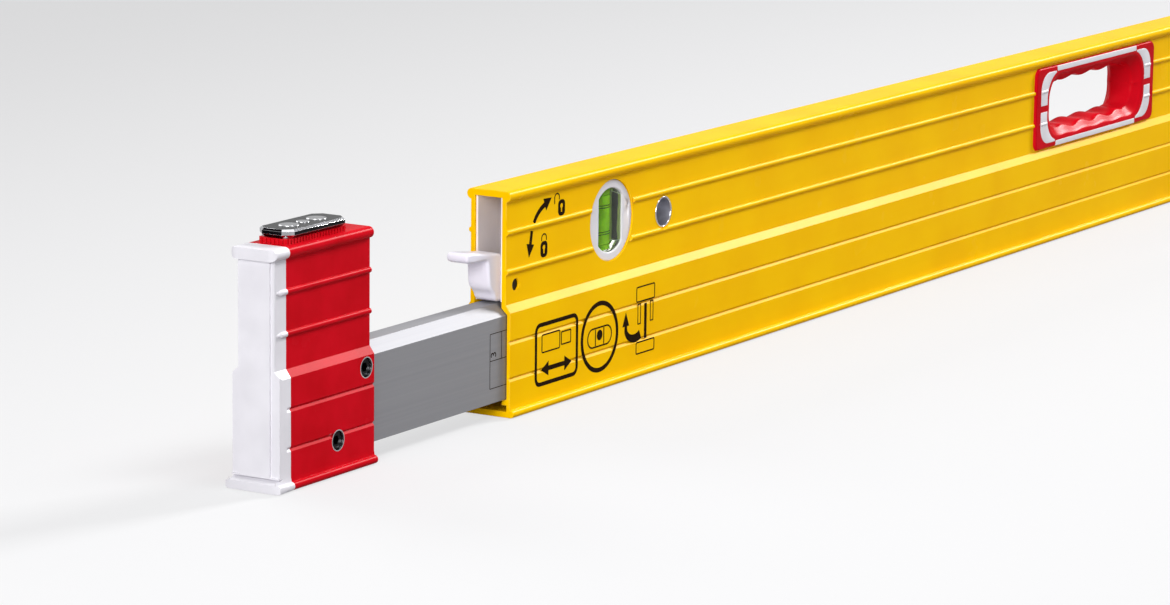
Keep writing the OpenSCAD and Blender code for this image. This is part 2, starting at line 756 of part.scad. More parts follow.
// the plate on top that guides the stand-off's legs and block
module cap_guide()
  translate([-standoff_x, 0, 0]) difference() {
    union() {
      translate([-well_x + 0.1, -well_half + 0.1, profile_h - guide_depth])
        cube([2 * well_x - 0.2, 2 * well_half - 0.2, guide_depth + eps]);
      translate([0, 0, profile_h]) linear_extrude(seat_rise) cut_plan(well_x - 0.3, well_half - 0.2, 1);
    }
    translate([0, 0, profile_h - guide_depth - 1]) linear_extrude(guide_depth + seat_rise + 2) {
      square([2 * block_half + 2 * guide_gap, leg_w + 2 * guide_gap], center = true);
      for (s = [-1, 1]) translate([s * (leg_in + leg_t / 2), 0])
        square([leg_t + 2 * guide_gap, leg_w + 2 * guide_gap], center = true);
    }
  }

module cap_screws()
  on_cap_screws(screw_seat) difference() {
    union() {
      cylinder(r = head_r, h = head_h);
      translate([0, 0, -shank_len]) cylinder(r = shank_r, h = shank_len + eps);
    }
    translate([0, 0, head_h - 1.8]) cylinder(d = hex_d, h = 3, $fn = 6);
  }

module cap_rings()
  on_cap_screws(-bar_half - socket_gap) difference() {
    cylinder(r = recess_r, h = lower_w / 2 - bar_half - socket_gap);
    translate([0, 0, -1]) cylinder(r = recess_r - ring_t, h = lower_w);
  }

module brake_pads()
  for (s = [-1, 1])
    translate([-standoff_x, s * ((leg_w / 2 + 0.1 + well_half + 0.5) / 2), pad_z + 2.5])
      cube([12, well_half + 0.4 - leg_w / 2, 5], center = true);

// the stand-off: bracket, guide block and contact studs, the middle stud smaller
function stud_size(i) = i == 0 ? stud_mid_r : stud_r;

// one layer of the plate, from one inset at its lower level to another at its upper level
module plate_layer(z0, g0, z1, g1)
  hull() {
    translate([0, 0, z0]) linear_extrude(eps)
      cut_plan(plate_len / 2 + g0, plate_w / 2 + g0, plate_corner + g0 * 0.4);
    translate([0, 0, z1 - eps]) linear_extrude(eps)
      cut_plan(plate_len / 2 + g1, plate_w / 2 + g1, plate_corner + g1 * 0.4);
  }

module standoff_bracket()
  translate([-standoff_x, 0, seat_z]) difference() {
    union() {
      plate_layer(0, -plate_under, plate_under, 0);
      plate_layer(plate_under, 0, plate_t - plate_bevel, 0);
      plate_layer(plate_t - plate_bevel, 0, plate_t, -plate_bevel);
      for (s = [-1, 1]) translate([s * (leg_in + leg_t / 2) - leg_t / 2, -leg_w / 2, -leg_len])
        cube([leg_t, leg_w, leg_len + 1]);
    }
    for (i = [-1 : 1]) translate([i * stud_pitch, 0, 0]) {
      translate([0, 0, plate_t - stud_sunk]) cylinder(r = stud_size(i) + 0.05, h = 5);
      translate([0, 0, -1]) cylinder(r = stud_shank_r + 0.05, h = plate_t + 2);
    }
  }

module standoff_block()
  translate([-standoff_x, 0, 0]) difference() {
    union() {
      translate([-block_half, -leg_w / 2, seat_z - block_head_h]) cube([2 * block_half, leg_w, block_head_h]);
      translate([-stem_half, -leg_w / 2, block_low]) cube([2 * stem_half, leg_w, seat_z - block_low - 1]);
      translate([-foot_half, -leg_w / 2, block_low]) cube([2 * foot_half, leg_w, block_foot_h]);
    }
    for (i = [-1 : 1]) translate([i * stud_pitch, 0, seat_z - stud_shank_len])
      cylinder(r = stud_shank_r + 0.05, h = stud_shank_len + 1);
  }

module standoff_studs()
  for (i = [-1 : 1]) translate([-standoff_x + i * stud_pitch, 0, plate_z]) {
    translate([0, 0, -stud_sunk]) cylinder(r = stud_size(i), h = stud_sunk + 0.3);
    translate([0, 0, -plate_t - stud_shank_len + 0.5])
      cylinder(r = stud_shank_r, h = plate_t + stud_shank_len - 1);
  }

module at_left() translate([cap_x, 0, 0]) children();
module at_right() translate([body_end, 0, 0]) mirror([1, 0, 0]) children();

module left_cap_body() color("firebrick") at_left() cap_body();
module left_cap_face() color("white") at_left() cap_face();
module left_cap_guide() color("firebrick") at_left() cap_guide();
module left_cap_screws() color("dimgray") at_left() cap_screws();
module left_cap_rings() color("silver") at_left() cap_rings();
module left_brake_pads() color("dimgray") at_left() brake_pads();
module left_standoff_bracket() color("lightgray") at_left() standoff_bracket();
module left_standoff_block() color("gainsboro") at_left() standoff_block();
module left_standoff_studs() color("silver") at_left() standoff_studs();

// the far cap sits on a short stub of bar fixed in the body
module cap_tenon()
  color("silver") at_right() difference() {
    bar_piece(-socket_len, socket_len + tenon_len);
    on_cap_screws(0) cylinder(r = recess_r - ring_t, h = lower_w);
  }

module tenon_screw_block() color("gray") at_right() screw_block();
module right_cap_body() color("firebrick") at_right() cap_body();
module right_cap_face() color("white") at_right() cap_face();
module right_cap_guide() color("firebrick") at_right() cap_guide();
module right_cap_screws() color("dimgray") at_right() cap_screws();
module right_cap_rings() color("silver") at_right() cap_rings();
module right_brake_pads() color("dimgray") at_right() brake_pads();
module right_standoff_bracket() color("lightgray") at_right() standoff_bracket();
module right_standoff_block() color("gainsboro") at_right() standoff_block();
module right_standoff_studs() color("silver") at_right() standoff_studs();

main_profile();
lock_housing();
lever_pin();
lock_lever();
travel_stop();
hanging_eye();
left_plumb_housing();
left_plumb_vial();
left_plumb_plugs();
left_plumb_liquid();
right_plumb_housing();
right_plumb_vial();
right_plumb_plugs();
right_plumb_liquid();
level_housing();
level_vial();
level_plugs();
level_liquid();
left_grip();
left_grip_inlays();
right_grip();
right_grip_inlays();
extension_bar();
bar_end_plug();
bar_screw_block();
left_cap_body();
left_cap_face();
left_cap_guide();
left_cap_screws();
left_cap_rings();
left_brake_pads();
left_standoff_bracket();
left_standoff_block();
left_standoff_studs();
cap_tenon();
tenon_screw_block();
right_cap_body();
right_cap_face();
right_cap_guide();
right_cap_screws();
right_cap_rings();
right_brake_pads();
right_standoff_bracket();
right_standoff_block();
right_standoff_studs();
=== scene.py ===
import bpy
import bmesh
import math
from mathutils import Matrix, Vector


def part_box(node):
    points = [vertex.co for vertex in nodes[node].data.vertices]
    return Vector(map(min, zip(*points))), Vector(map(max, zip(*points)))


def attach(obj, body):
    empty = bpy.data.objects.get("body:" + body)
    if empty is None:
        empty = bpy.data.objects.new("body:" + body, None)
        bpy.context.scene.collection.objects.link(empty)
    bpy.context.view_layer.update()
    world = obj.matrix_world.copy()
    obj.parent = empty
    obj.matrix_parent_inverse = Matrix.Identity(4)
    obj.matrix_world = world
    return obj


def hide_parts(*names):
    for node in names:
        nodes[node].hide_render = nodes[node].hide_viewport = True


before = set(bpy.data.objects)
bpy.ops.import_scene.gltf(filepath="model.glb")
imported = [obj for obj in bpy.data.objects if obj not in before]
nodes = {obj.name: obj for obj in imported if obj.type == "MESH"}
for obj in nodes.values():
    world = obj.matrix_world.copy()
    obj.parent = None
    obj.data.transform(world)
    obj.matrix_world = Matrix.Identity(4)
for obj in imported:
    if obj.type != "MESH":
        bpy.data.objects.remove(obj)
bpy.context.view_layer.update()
mm = 0.001
sides = ("left", "right")
print("frame loaded:", len(nodes), "nodes")

# where the body starts and ends along X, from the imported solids
bodyLow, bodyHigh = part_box("main_profile")
bodyX = bodyLow[0]
bodyEnd = bodyHigh[0]
midX = (bodyX + bodyEnd) / 2


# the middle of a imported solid's box
def middle(name):
    lo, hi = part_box(name)
    return [(a + b) / 2 for a, b in zip(lo, hi)]


def hexToLinear(code):
    parts = [int(code[i:i + 2], 16) / 255 for i in (1, 3, 5)]
    lin = [c / 12.92 if c <= 0.04045 else ((c + 0.055) / 1.055) ** 2.4 for c in parts]
    return (*lin, 1.0)


def addNode(tree, kind, sets=None, links=None):
    node = tree.nodes.new(kind)
    for key, value in (sets or {}).items():
        if isinstance(key, int) or key in node.inputs:
            node.inputs[key].default_value = value
        elif key == "stops":
            for stop, (spot, code) in zip(node.color_ramp.elements, value):
                stop.position, stop.color = spot, hexToLinear(code)
        else:
            setattr(node, key, value)
    for key, (source, socket) in (links or {}).items():
        tree.links.new(source.outputs[socket], node.inputs[key])
    return node


def newMaterial(name, settings=None):
    mat = bpy.data.materials.new(name)
    mat.use_nodes = True
    tree = mat.node_tree
    tree.nodes.clear()
    shader = addNode(tree, "ShaderNodeBsdfPrincipled", settings)
    addNode(tree, "ShaderNodeOutputMaterial", links={"Surface": (shader, "BSDF")})
    place = addNode(tree, "ShaderNodeTexCoord")
    return mat, tree, shader, place


def mottledColour(tree, shader, place, darkHex, lightHex, patchMm, low=0.35, high=0.65):
    noise = addNode(tree, "ShaderNodeTexNoise", {"Scale": 1 / (patchMm * mm), "Detail": 3.0},
                    {"Vector": (place, "Object")})
    ramp = addNode(tree, "ShaderNodeValToRGB", {"stops": ((low, darkHex), (high, lightHex))}, {"Fac": (noise, "Fac")})
    tree.links.new(ramp.outputs["Color"], shader.inputs["Base Color"])


def surfaceGrain(tree, shader, place, grainMm, heightMm, strength):
    noise = addNode(tree, "ShaderNodeTexNoise", {"Scale": 1 / (grainMm * mm), "Detail": 2.0},
                    {"Vector": (place, "Object")})
    bump = addNode(tree, "ShaderNodeBump", {"Strength": strength, "Distance": heightMm * mm},
                   {"Height": (noise, "Fac")})
    tree.links.new(bump.outputs["Normal"], shader.inputs["Normal"])


def unevenGloss(tree, shader, place, patchMm, low, high):
    noise = addNode(tree, "ShaderNodeTexNoise", {"Scale": 1 / (patchMm * mm), "Detail": 4.0},
                    {"Vector": (place, "Object")})
    span = addNode(tree, "ShaderNodeMapRange", {"To Min": low, "To Max": high}, {"Value": (noise, "Fac")})
    tree.links.new(span.outputs["Result"], shader.inputs["Roughness"])


# painted highlight: an edge of the given width turns lighter or brighter towards the given colour, in noisy patches
def wornEdges(tree, shader, place, code, widthMm, patchMm, most):
    plain = shader.inputs["Base Color"].links[0].from_socket
    soft = addNode(tree, "ShaderNodeBevel", {"samples": 4, "Radius": widthMm * mm})
    flat = addNode(tree, "ShaderNodeNewGeometry")
    turn = addNode(tree, "ShaderNodeVectorMath", {"operation": "DOT_PRODUCT"},
                   {0: (soft, "Normal"), 1: (flat, "Normal")})
    patch = addNode(tree, "ShaderNodeTexNoise", {"Scale": 1 / (patchMm * mm), "Detail": 4.0},
                    {"Vector": (place, "Object")})
    edge = addNode(tree, "ShaderNodeMapRange", {"From Min": 0.985, "From Max": 0.85}, {"Value": (turn, "Value")})
    edgeHighlight = addNode(tree, "ShaderNodeMapRange", {"From Min": 0.42, "From Max": 0.6, "To Max": most},
                   {"Value": (patch, "Fac")})
    share = addNode(tree, "ShaderNodeMath", {"operation": "MULTIPLY"}, {0: (edge, "Result"), 1: (edgeHighlight, "Result")})
    mix = addNode(tree, "ShaderNodeMix", {"data_type": "RGBA"}, {0: (share, 0)})
    mix.inputs[7].default_value = hexToLinear(code)
    tree.links.new(plain, mix.inputs[6])
    tree.links.new(mix.outputs[2], shader.inputs["Base Color"])


# one solid surface, sizes in mm. colour: dark, light, patch. gloss: patch, low, high.
# edgeHighlight, a painted highlight along the edges: colour, edge width, patch, most. grain: size, height, strength.
def surface(name, colour, gloss, edgeHighlight=None, grain=None, settings=None):
    mat, tree, shader, place = newMaterial(name, settings)
    mottledColour(tree, shader, place, *colour)
    # a painted highlight along the edges
    if edgeHighlight:
        wornEdges(tree, shader, place, *edgeHighlight)
    if grain:
        surfaceGrain(tree, shader, place, *grain)
    unevenGloss(tree, shader, place, *gloss)
    return mat


# moulded ABS or POM: cool white, half matt, faintly uneven
def whiteMoulding(name, dark, light, low, high):
    return surface(name, (dark, light, 22), (15, low, high), grain=(0.7, 0.03, 0.15),
                   settings={"IOR": 1.53, "Specular IOR Level": 0.25})


# polished or plated metal with hairline scuffs, and a painted highlight along its edges
def brightMetal(name, dark, light, rough, edgeHighlight=0.9):
    return surface(name, (dark, light, 5), (4, rough * 0.8, rough * 1.2), ("#F2F2F4", 0.35, 3, edgeHighlight),
                   (0.5, 0.01, 0.1), {"Metallic": 1.0})


def anodisedBar():
    # anodised aluminium: satin grey with fine draw lines along the bar
    mat, tree, shader, place = newMaterial("anodised_aluminium_satin", {"Metallic": 1.0, "Roughness": 0.66})
    stretch = addNode(tree, "ShaderNodeMapping", {"Scale": (3.0, 900.0, 900.0)}, {"Vector": (place, "Object")})
    lines = addNode(tree, "ShaderNodeTexNoise", {"Scale": 1.0, "Detail": 3.0}, {"Vector": (stretch, "Vector")})
    ramp = addNode(tree, "ShaderNodeValToRGB", {"stops": ((0.0, "#929296"), (1.0, "#9C9C9F"))}, {"Fac": (lines, "Fac")})
    tree.links.new(ramp.outputs["Color"], shader.inputs["Base Color"])
    bump = addNode(tree, "ShaderNodeBump", {"Strength": 0.06, "Distance": 0.02 * mm}, {"Height": (lines, "Fac")})
    tree.links.new(bump.outputs["Normal"], shader.inputs["Normal"])
    return mat


def clearAcrylic():
    # cast acrylic: clear, very slightly green from the liquid
    mat, tree, shader, place = newMaterial("acrylic_clear", {
        "Base Color": hexToLinear("#F2FBEA"), "Transmission Weight": 1.0, "IOR": 1.49,
        "Specular Tint": hexToLinear("#10180A")})
    unevenGloss(tree, shader, place, 6, 0.01, 0.05)
    return mat


def vialSide():
    # painted shade on the sides of a clear block seen from inside: olive near the face, almost black further in, with a
    # wavering edge between
    mat, tree, shader, place = newMaterial("acrylic_side_painted_shade", {"Roughness": 0.5})
    axis = addNode(tree, "ShaderNodeSeparateXYZ", links={"Vector": (place, "Object")})
    streak = addNode(tree, "ShaderNodeTexNoise", {"Scale": 1 / (9 * mm), "Detail": 3.0}, {"Vector": (place, "Object")})
    depth = addNode(tree, "ShaderNodeMath", {"operation": "ABSOLUTE"}, {0: (axis, "Y")})
    waver = addNode(tree, "ShaderNodeMath", {"operation": "MULTIPLY_ADD", 1: 4 * mm},
                    {0: (streak, "Fac"), 2: (depth, 0)})
    span = addNode(tree, "ShaderNodeMapRange", {"From Min": 4.8 * mm, "From Max": 6.6 * mm}, {"Value": (waver, 0)})
    ramp = addNode(tree, "ShaderNodeValToRGB", {"stops": ((0.35, "#0A0D05"), (1.0, "#BFCB7C"))},
                   {"Fac": (span, "Result")})
    tree.links.new(ramp.outputs["Color"], shader.inputs["Base Color"])
    return mat


# powder-coated aluminium: even yellow with a faint orange peel of about 1.2 mm, and a paler yellow painted highlight
# along its edges
yellowCoat = surface("powder_coat_yellow", ("#F9BE00", "#FDC600", 40), (25, 0.22, 0.30), ("#FFDE6A", 0.5, 9, 0.5),
                     (1.2, 0.05, 0.25), {"IOR": 1.45, "Specular IOR Level": 0.02})
# moulded ABS: deep red, glossy with a fine spark-eroded grain, and a pink painted highlight along its edges
redPlastic = surface("moulded_abs_red", ("#C20A18", "#CE0D1E", 18), (12, 0.22, 0.30), ("#E0565C", 0.4, 6, 0.5),
                     (0.6, 0.03, 0.2), {"IOR": 1.53, "Specular IOR Level": 0.015})
whitePlastic = whiteMoulding("moulded_abs_white", "#DEDCE2", "#E6E4EA", 0.34, 0.44)
leverPlastic = whiteMoulding("moulded_pom_lilac_white", "#EAE7F4", "#F1EEF8", 0.3, 0.4)
liningPlastic = whiteMoulding("moulded_abs_lining", "#F3EBEB", "#F8F1F1", 0.45, 0.55)
barMetal = anodisedBar()
steelBright = brightMetal("polished_steel", "#D5D5D8", "#E4E4E6", 0.16)
nickel = brightMetal("nickel_plate_satin", "#ABABB4", "#B8B8C0", 0.5)
# the bracket's chrome painted near-black: a painted dark reflection; its bright parts take the polished steel
chromePaintedDark = brightMetal("chrome_painted_dark", "#0F0F12", "#1D1D21", 0.24, 0.25)
# black-oxide steel: dark, slightly oily
steelBlack = surface("black_oxide_steel", ("#1B1B1D", "#2A2A2C", 2), (2, 0.3, 0.45), settings={"Metallic": 1.0})
# glass-filled nylon: matt black with pale flecks
nylon = surface("nylon_black", ("#141414", "#242424", 1.5), (4, 0.5, 0.65), grain=(0.4, 0.03, 0.3))
acrylic = clearAcrylic()
# dyed vial spirit: yellow-green, glowing a little where light passes through
liquid = surface("vial_spirit_green", ("#8CCB12", "#A2DE22", 6), (8, 0.2, 0.3), settings={
    "IOR": 1.36, "Specular IOR Level": 0.1, "Subsurface Weight": 0.3, "Subsurface Scale": 4 * mm})
# painted shade for the long sides of the clear blocks
sideShade = vialSide()
# screen-printed ink: thin and matt, a little uneven
ink = surface("screen_ink_black", ("#1D1207", "#2E2012", 1.0, 0.3, 0.9), (2, 0.5, 0.6),
              settings={"Specular IOR Level": 0.01})
print("materials made")


def dress(mat, *names):
    for name in names:
        mesh = nodes[name].data
        mesh.materials.clear()
        mesh.materials.append(mat)


# the solids that show as they are
for side in sides:
    dress(whitePlastic, side + "_standoff_block")
    dress(steelBright, side + "_cap_rings")
    dress(steelBlack, side + "_cap_screws")
    dress(nylon, side + "_brake_pads")
    dress(liquid, side + "_plumb_plugs")
dress(liningPlastic, "lock_housing")
dress(steelBlack, "lever_pin")
dress(nylon, "travel_stop", "bar_end_plug")
dress(barMetal, "cap_tenon", "bar_screw_block", "tenon_screw_block")
dress(liquid, "level_liquid", "level_plugs")


def smooth(obj, angle):
    mesh = obj.data
    mesh.polygons.foreach_set("use_smooth", [True] * len(mesh.polygons))
    mesh.set_sharp_from_angle(angle=math.radians(angle))
    mesh.update()


def addObject(name, data):
    obj = bpy.data.objects.new(name, data)
    bpy.context.scene.collection.objects.link(obj)
    return obj


def makeObject(name, bm, mat, smoothAngle=30):
    mesh = bpy.data.meshes.new(name)
    bm.to_mesh(mesh)
    bm.free()
    mesh.materials.append(mat)
    obj = addObject(name, mesh)
    smooth(obj, smoothAngle)
    return obj


def bakeModifiers(obj):
    graph = bpy.context.evaluated_depsgraph_get()
    mesh = bpy.data.meshes.new_from_object(obj.evaluated_get(graph))
    obj.modifiers.clear()
    old = obj.data
    obj.data = mesh
    bpy.data.meshes.remove(old)
    mesh.name = obj.name


def evenNormals(obj):
    obj.modifiers.new("evenNormals", "WEIGHTED_NORMAL").keep_sharp = True
    bakeModifiers(obj)


def cutAway(obj, cutters):
    for cutter in cutters:
        mod = obj.modifiers.new("cut", "BOOLEAN")
        mod.operation = "DIFFERENCE"
        mod.solver = "EXACT"
        mod.object = cutter
    bakeModifiers(obj)
    for cutter in cutters:
        mesh = cutter.data
        bpy.data.objects.remove(cutter)
        bpy.data.meshes.remove(mesh)


# a plain copy of a CAD node with its edges broken, as a moulding or casting has them
def softenedCopy(name, widthMm, mat, body, segments=3, angle=35, reshape=None, cuts=(), highlightMat=None):
    bm = bmesh.new()
    bm.from_mesh(nodes[name].data)
    bmesh.ops.remove_doubles(bm, verts=bm.verts, dist=2e-6)
    bmesh.ops.dissolve_limit(bm, angle_limit=math.radians(0.6), verts=bm.verts, edges=bm.edges)
    if reshape:
        for vert in bm.verts:
            reshape(vert.co)
    obj = makeObject(name + "_dressed", bm, mat)
    if cuts:
        cutAway(obj, cuts)
        smooth(obj, 30)
    bevel = obj.modifiers.new("softEdges", "BEVEL")
    bevel.width = widthMm * mm
    bevel.segments = segments
    bevel.limit_method = "ANGLE"
    bevel.angle_limit = math.radians(angle)
    # the broken edges can take a second, brighter material: a painted highlight
    if highlightMat:
        obj.data.materials.append(highlightMat)
        bevel.material = 1
    evenNormals(obj)
    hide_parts(name)
    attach(obj, body)
    return obj


# joins two loops of the same length with quads
def bridge(bm, a, b):
    n = len(a)
    for i in range(n):
        bm.faces.new((a[i], a[(i + 1) % n], b[(i + 1) % n], b[i]))


def arc(cx, cz, r, a0, a1, steps):
    turns = [math.radians(a0 + (a1 - a0) * i / steps) for i in range(steps + 1)]
    return [(cx + r * math.cos(t), cz + r * math.sin(t)) for t in turns]


def circlePlan(x, z, r, steps=64):
    return arc(x, z, r, 0, 360, steps)[:-1]


def roundPlan(x, z, hw, hh, r, steps=10):
    pts = []
    for sx, sz, a in ((1, 1, 0), (-1, 1, 90), (-1, -1, 180), (1, -1, 270)):
        pts += arc(x + sx * (hw - r), z + sz * (hh - r), r, a, a + 90, steps)
    return pts


# a plan grown inwards by an even amount; it runs anticlockwise, and least holds back its sharp corners
def insetPlan(plan, amount, least=0.6):
    out = []
    n = len(plan)
    for i, (x, z) in enumerate(plan):
        t1 = Vector((x - plan[i - 1][0], z - plan[i - 1][1])).normalized()
        t2 = Vector((plan[(i + 1) % n][0] - x, plan[(i + 1) % n][1] - z)).normalized()
        m = Vector((-t1.y - t2.y, t1.x + t2.x)) / max(least, 1 + t1.dot(t2))
        out.append((x + m.x * amount, z + m.y * amount))
    return out


# a prism across Y over a plan in X and Z, between two Y levels
def prismY(plan, y0, y1):
    bm = bmesh.new()
    low = [bm.verts.new((x, y0, z)) for x, z in plan]
    high = [bm.verts.new((x, y1, z)) for x, z in plan]
    bm.faces.new(low)
    bm.faces.new(high[::-1])
    bridge(bm, low[::-1], high[::-1])
    bmesh.ops.recalc_face_normals(bm, faces=bm.faces)
    return makeObject("cutter", bm, yellowCoat)


# a plate across Y over a plan, with rounded long edges
def pillow(name, plan, half, edge, mat, angle=40):
    bm = bmesh.new()
    steps = [(half, edge), (half - edge * 0.12, edge * 0.52), (half - edge * 0.45, edge * 0.16), (half - edge, 0.0)]
    rings = []
    for y, cut in steps + [(-y, cut) for y, cut in reversed(steps)]:
        rings.append([bm.verts.new((x * mm, y * mm, z * mm)) for x, z in insetPlan(plan, cut)])
    for a, b in zip(rings, rings[1:]):
        bridge(bm, a, b)
    for ring in (rings[0], rings[-1]):
        bm.faces.new(ring)
    bmesh.ops.recalc_face_normals(bm, faces=bm.faces)
    return makeObject(name, bm, mat, angle)


# the yellow body, drawn from its section with finer rounds than the CAD mesh; cuts are a hole and its seat
bodySizes = {
    "height": 108, "upperW": 19.8, "lowerW": 24.9, "topW": 24.3, "topT": 5.2, "footW": 29.5, "footT": 3.8,
    "footSlope": 2.2, "stepZ": 50.3, "stepRise": 3.5, "ribR": 1.35, "ribOut": 1.15, "ribs": (88.2, 69.5),
    "grooves": (36.2, 18.5), "grooveD": 0.8, "grooveH": 2.3, "upperWall": 2.4, "lowerWall": 1.8,
    "roof": 3.2, "floor": 2.9, "barLow": 9, "barTop": 54.5, "bevelW": 5.7, "bevelH": 5.3, "slide": 0.3,
    "ledgeW": 2.6, "ledgeH": 2.8, "edge": 0.25, "innerEdge": 0.15, "sharp": 0.35, "reach": 30, "plumbUp": 20,
    "plumbR": (20.1, 21.4), "gripCut": ((68.8, 21.3, 17.2, 10), (80.8, 23.8, 0.5, 2)),
    "levelCut": ((40.1, 15.1, 15.09, 20), (41.4, 16.4, 16.39, 20)), "eyeR": (7.9, 8.85), "pinR": 3.05}
reach = bodySizes["reach"] * mm


# half outline from the middle of the foot up to the middle of the top, on the +Y side
def halfOutline(s):
    foot = s["footW"] / 2 - s["footT"] / 2
    low = s["lowerW"] / 2
    up = s["upperW"] / 2
    high = s["height"] - s["topT"]
    pts = [(0, 0)] + arc(foot, s["footT"] / 2, s["footT"] / 2, -90, 90, 10)
    pts.append((low, s["footT"] + s["footSlope"]))
    for z in sorted(s["grooves"]):
        pts += [(low, z - s["grooveH"] / 2), (low - s["grooveD"], z), (low, z + s["grooveH"] / 2)]
    pts += [(low, s["stepZ"]), (up, s["stepZ"] + s["stepRise"])]
    sink = s["ribR"] - s["ribOut"]
    spread = math.degrees(math.acos(sink / s["ribR"]))
    for z in sorted(s["ribs"]):
        pts += arc(up - sink, z, s["ribR"], -spread, spread, 10)
    top = s["topW"] / 2 - s["topT"] / 2
    pts.append((up, high - 0.1))
    pts += arc(top, high + s["topT"] / 2, s["topT"] / 2, -80, 90, 12)
    pts.append((0, s["height"]))
    return pts


def halfHollow(s):
    low = s["lowerW"] / 2 - s["lowerWall"]
    up = s["upperW"] / 2 - s["upperWall"]
    ledge = s["barLow"] - s["slide"]
    slant = math.hypot(s["bevelW"], s["bevelH"])
    ny, nz = s["bevelH"] / slant, s["bevelW"] / slant
    sideZ = s["barTop"] - s["bevelH"] + s["slide"] * nz / (1 + ny)
    meetZ = sideZ + (low - up) * s["bevelH"] / s["bevelW"]
    return [(0, s["floor"]), (low, s["floor"]), (low, ledge - s["ledgeH"]), (low - s["ledgeW"], ledge - s["ledgeH"]),
            (low - s["ledgeW"], ledge), (low, ledge), (low, sideZ), (up, meetZ), (up, s["height"] - s["roof"]),
            (0, s["height"] - s["roof"])]


def mirrored(half):
    return half + [(-y, z) for y, z in reversed(half[1:-1])]


def buildBody(s):
    bm = bmesh.new()

    def loopAt(outline, x, inset=0.0):
        plan = insetPlan(outline, inset, s["sharp"])
        return [bm.verts.new((x, y * mm, z * mm)) for y, z in plan]

    skins = []
    for half, edge in ((halfOutline(s), s["edge"]), (halfHollow(s), -s["innerEdge"])):
        outline = mirrored(half)
        step = abs(edge) * mm
        skins.append([loopAt(outline, bodyX, edge), loopAt(outline, bodyX + step), loopAt(outline, bodyEnd - step),
                      loopAt(outline, bodyEnd, edge)])
    outer, inner = skins
    for a, b in zip(outer, outer[1:]):
        bridge(bm, a, b)
    for a, b in zip(inner, inner[1:]):
        bridge(bm, b, a)
    for ends in ((outer[0], inner[0]), (outer[-1], inner[-1])):
        edges = [bm.edges.get((loop[k], loop[(k + 1) % len(loop)])) for loop in ends for k in range(len(loop))]
        bmesh.ops.triangle_fill(bm, use_beauty=True, edges=edges)
    bmesh.ops.recalc_face_normals(bm, faces=bm.faces)
    body = makeObject("yellow_body", bm, yellowCoat)
    half = s["upperW"] / 2 * mm
    cuts = []

    # a hole through both walls, and round it a seat as deep as the ribs
    def pierce(hole, *seats):
        cuts.append(prismY(hole, -reach, reach))
        for seat in seats:
            cuts.append(prismY(seat, -reach, -half))
            cuts.append(prismY(seat, half, reach))

    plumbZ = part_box("left_plumb_housing")[0][2] + s["plumbUp"] * mm
    bandZ = middle("left_grip")[2]
    for side in sides:
        x = middle(side + "_plumb_housing")[0]
        pierce(*(circlePlan(x, plumbZ, r * mm) for r in s["plumbR"]))
        x = middle(side + "_grip")[0]
        pierce(*(roundPlan(x, bandZ, hw * mm, hh * mm, r * mm, n) for hw, hh, r, n in s["gripCut"]))
    z = middle("level_housing")[2]
    pierce(*(roundPlan(midX, z, hw * mm, hh * mm, r * mm, n) for hw, hh, r, n in s["levelCut"]))
    x = middle("hanging_eye")[0]
    pierce(*(circlePlan(x, bandZ, r * mm, 48) for r in s["eyeR"]))
    x, _, z = middle("lever_pin")
    pierce(circlePlan(x, z, s["pinR"] * mm, 40))
    cutAway(body, cuts)
    smooth(body, 28)
    evenNormals(body)
    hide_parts("main_profile")
    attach(body, "level_body")


buildBody(bodySizes)
print("yellow body made")

# red hand-hole frame: a lip on each side and a tunnel that narrows to a wavy rail for the fingers
gripSizes = {
    "half": 80.5, "high": 23.7, "corner": 5.0, "openHalf": 62.0, "openHigh": 16.8, "openR": 13.0, "lip": 2.8,
    "lipR": (2.6, 3.8), "slant": 53.0, "railTop": 0.7, "railYs": (0.0, 1.3, 2.6, 4.0), "railHalf": 58.5,
    "railHigh": 12.7, "railR": 12.0, "deep": 1.9, "pitch": 25.0, "waveEnd": 47.5, "waveFade": 6.0, "out": 11.6,
    "outCut": 1.5, "edge": ((11.42, 0.8), (11.1, 0.42), (10.6, 0.12), (10.1, 0.0)), "under": 9.92,
    "wallHalf": 68.7, "wallHigh": 21.2, "wallR": 17.2, "longSteps": 96, "cornerSteps": 14, "shortSteps": 6}


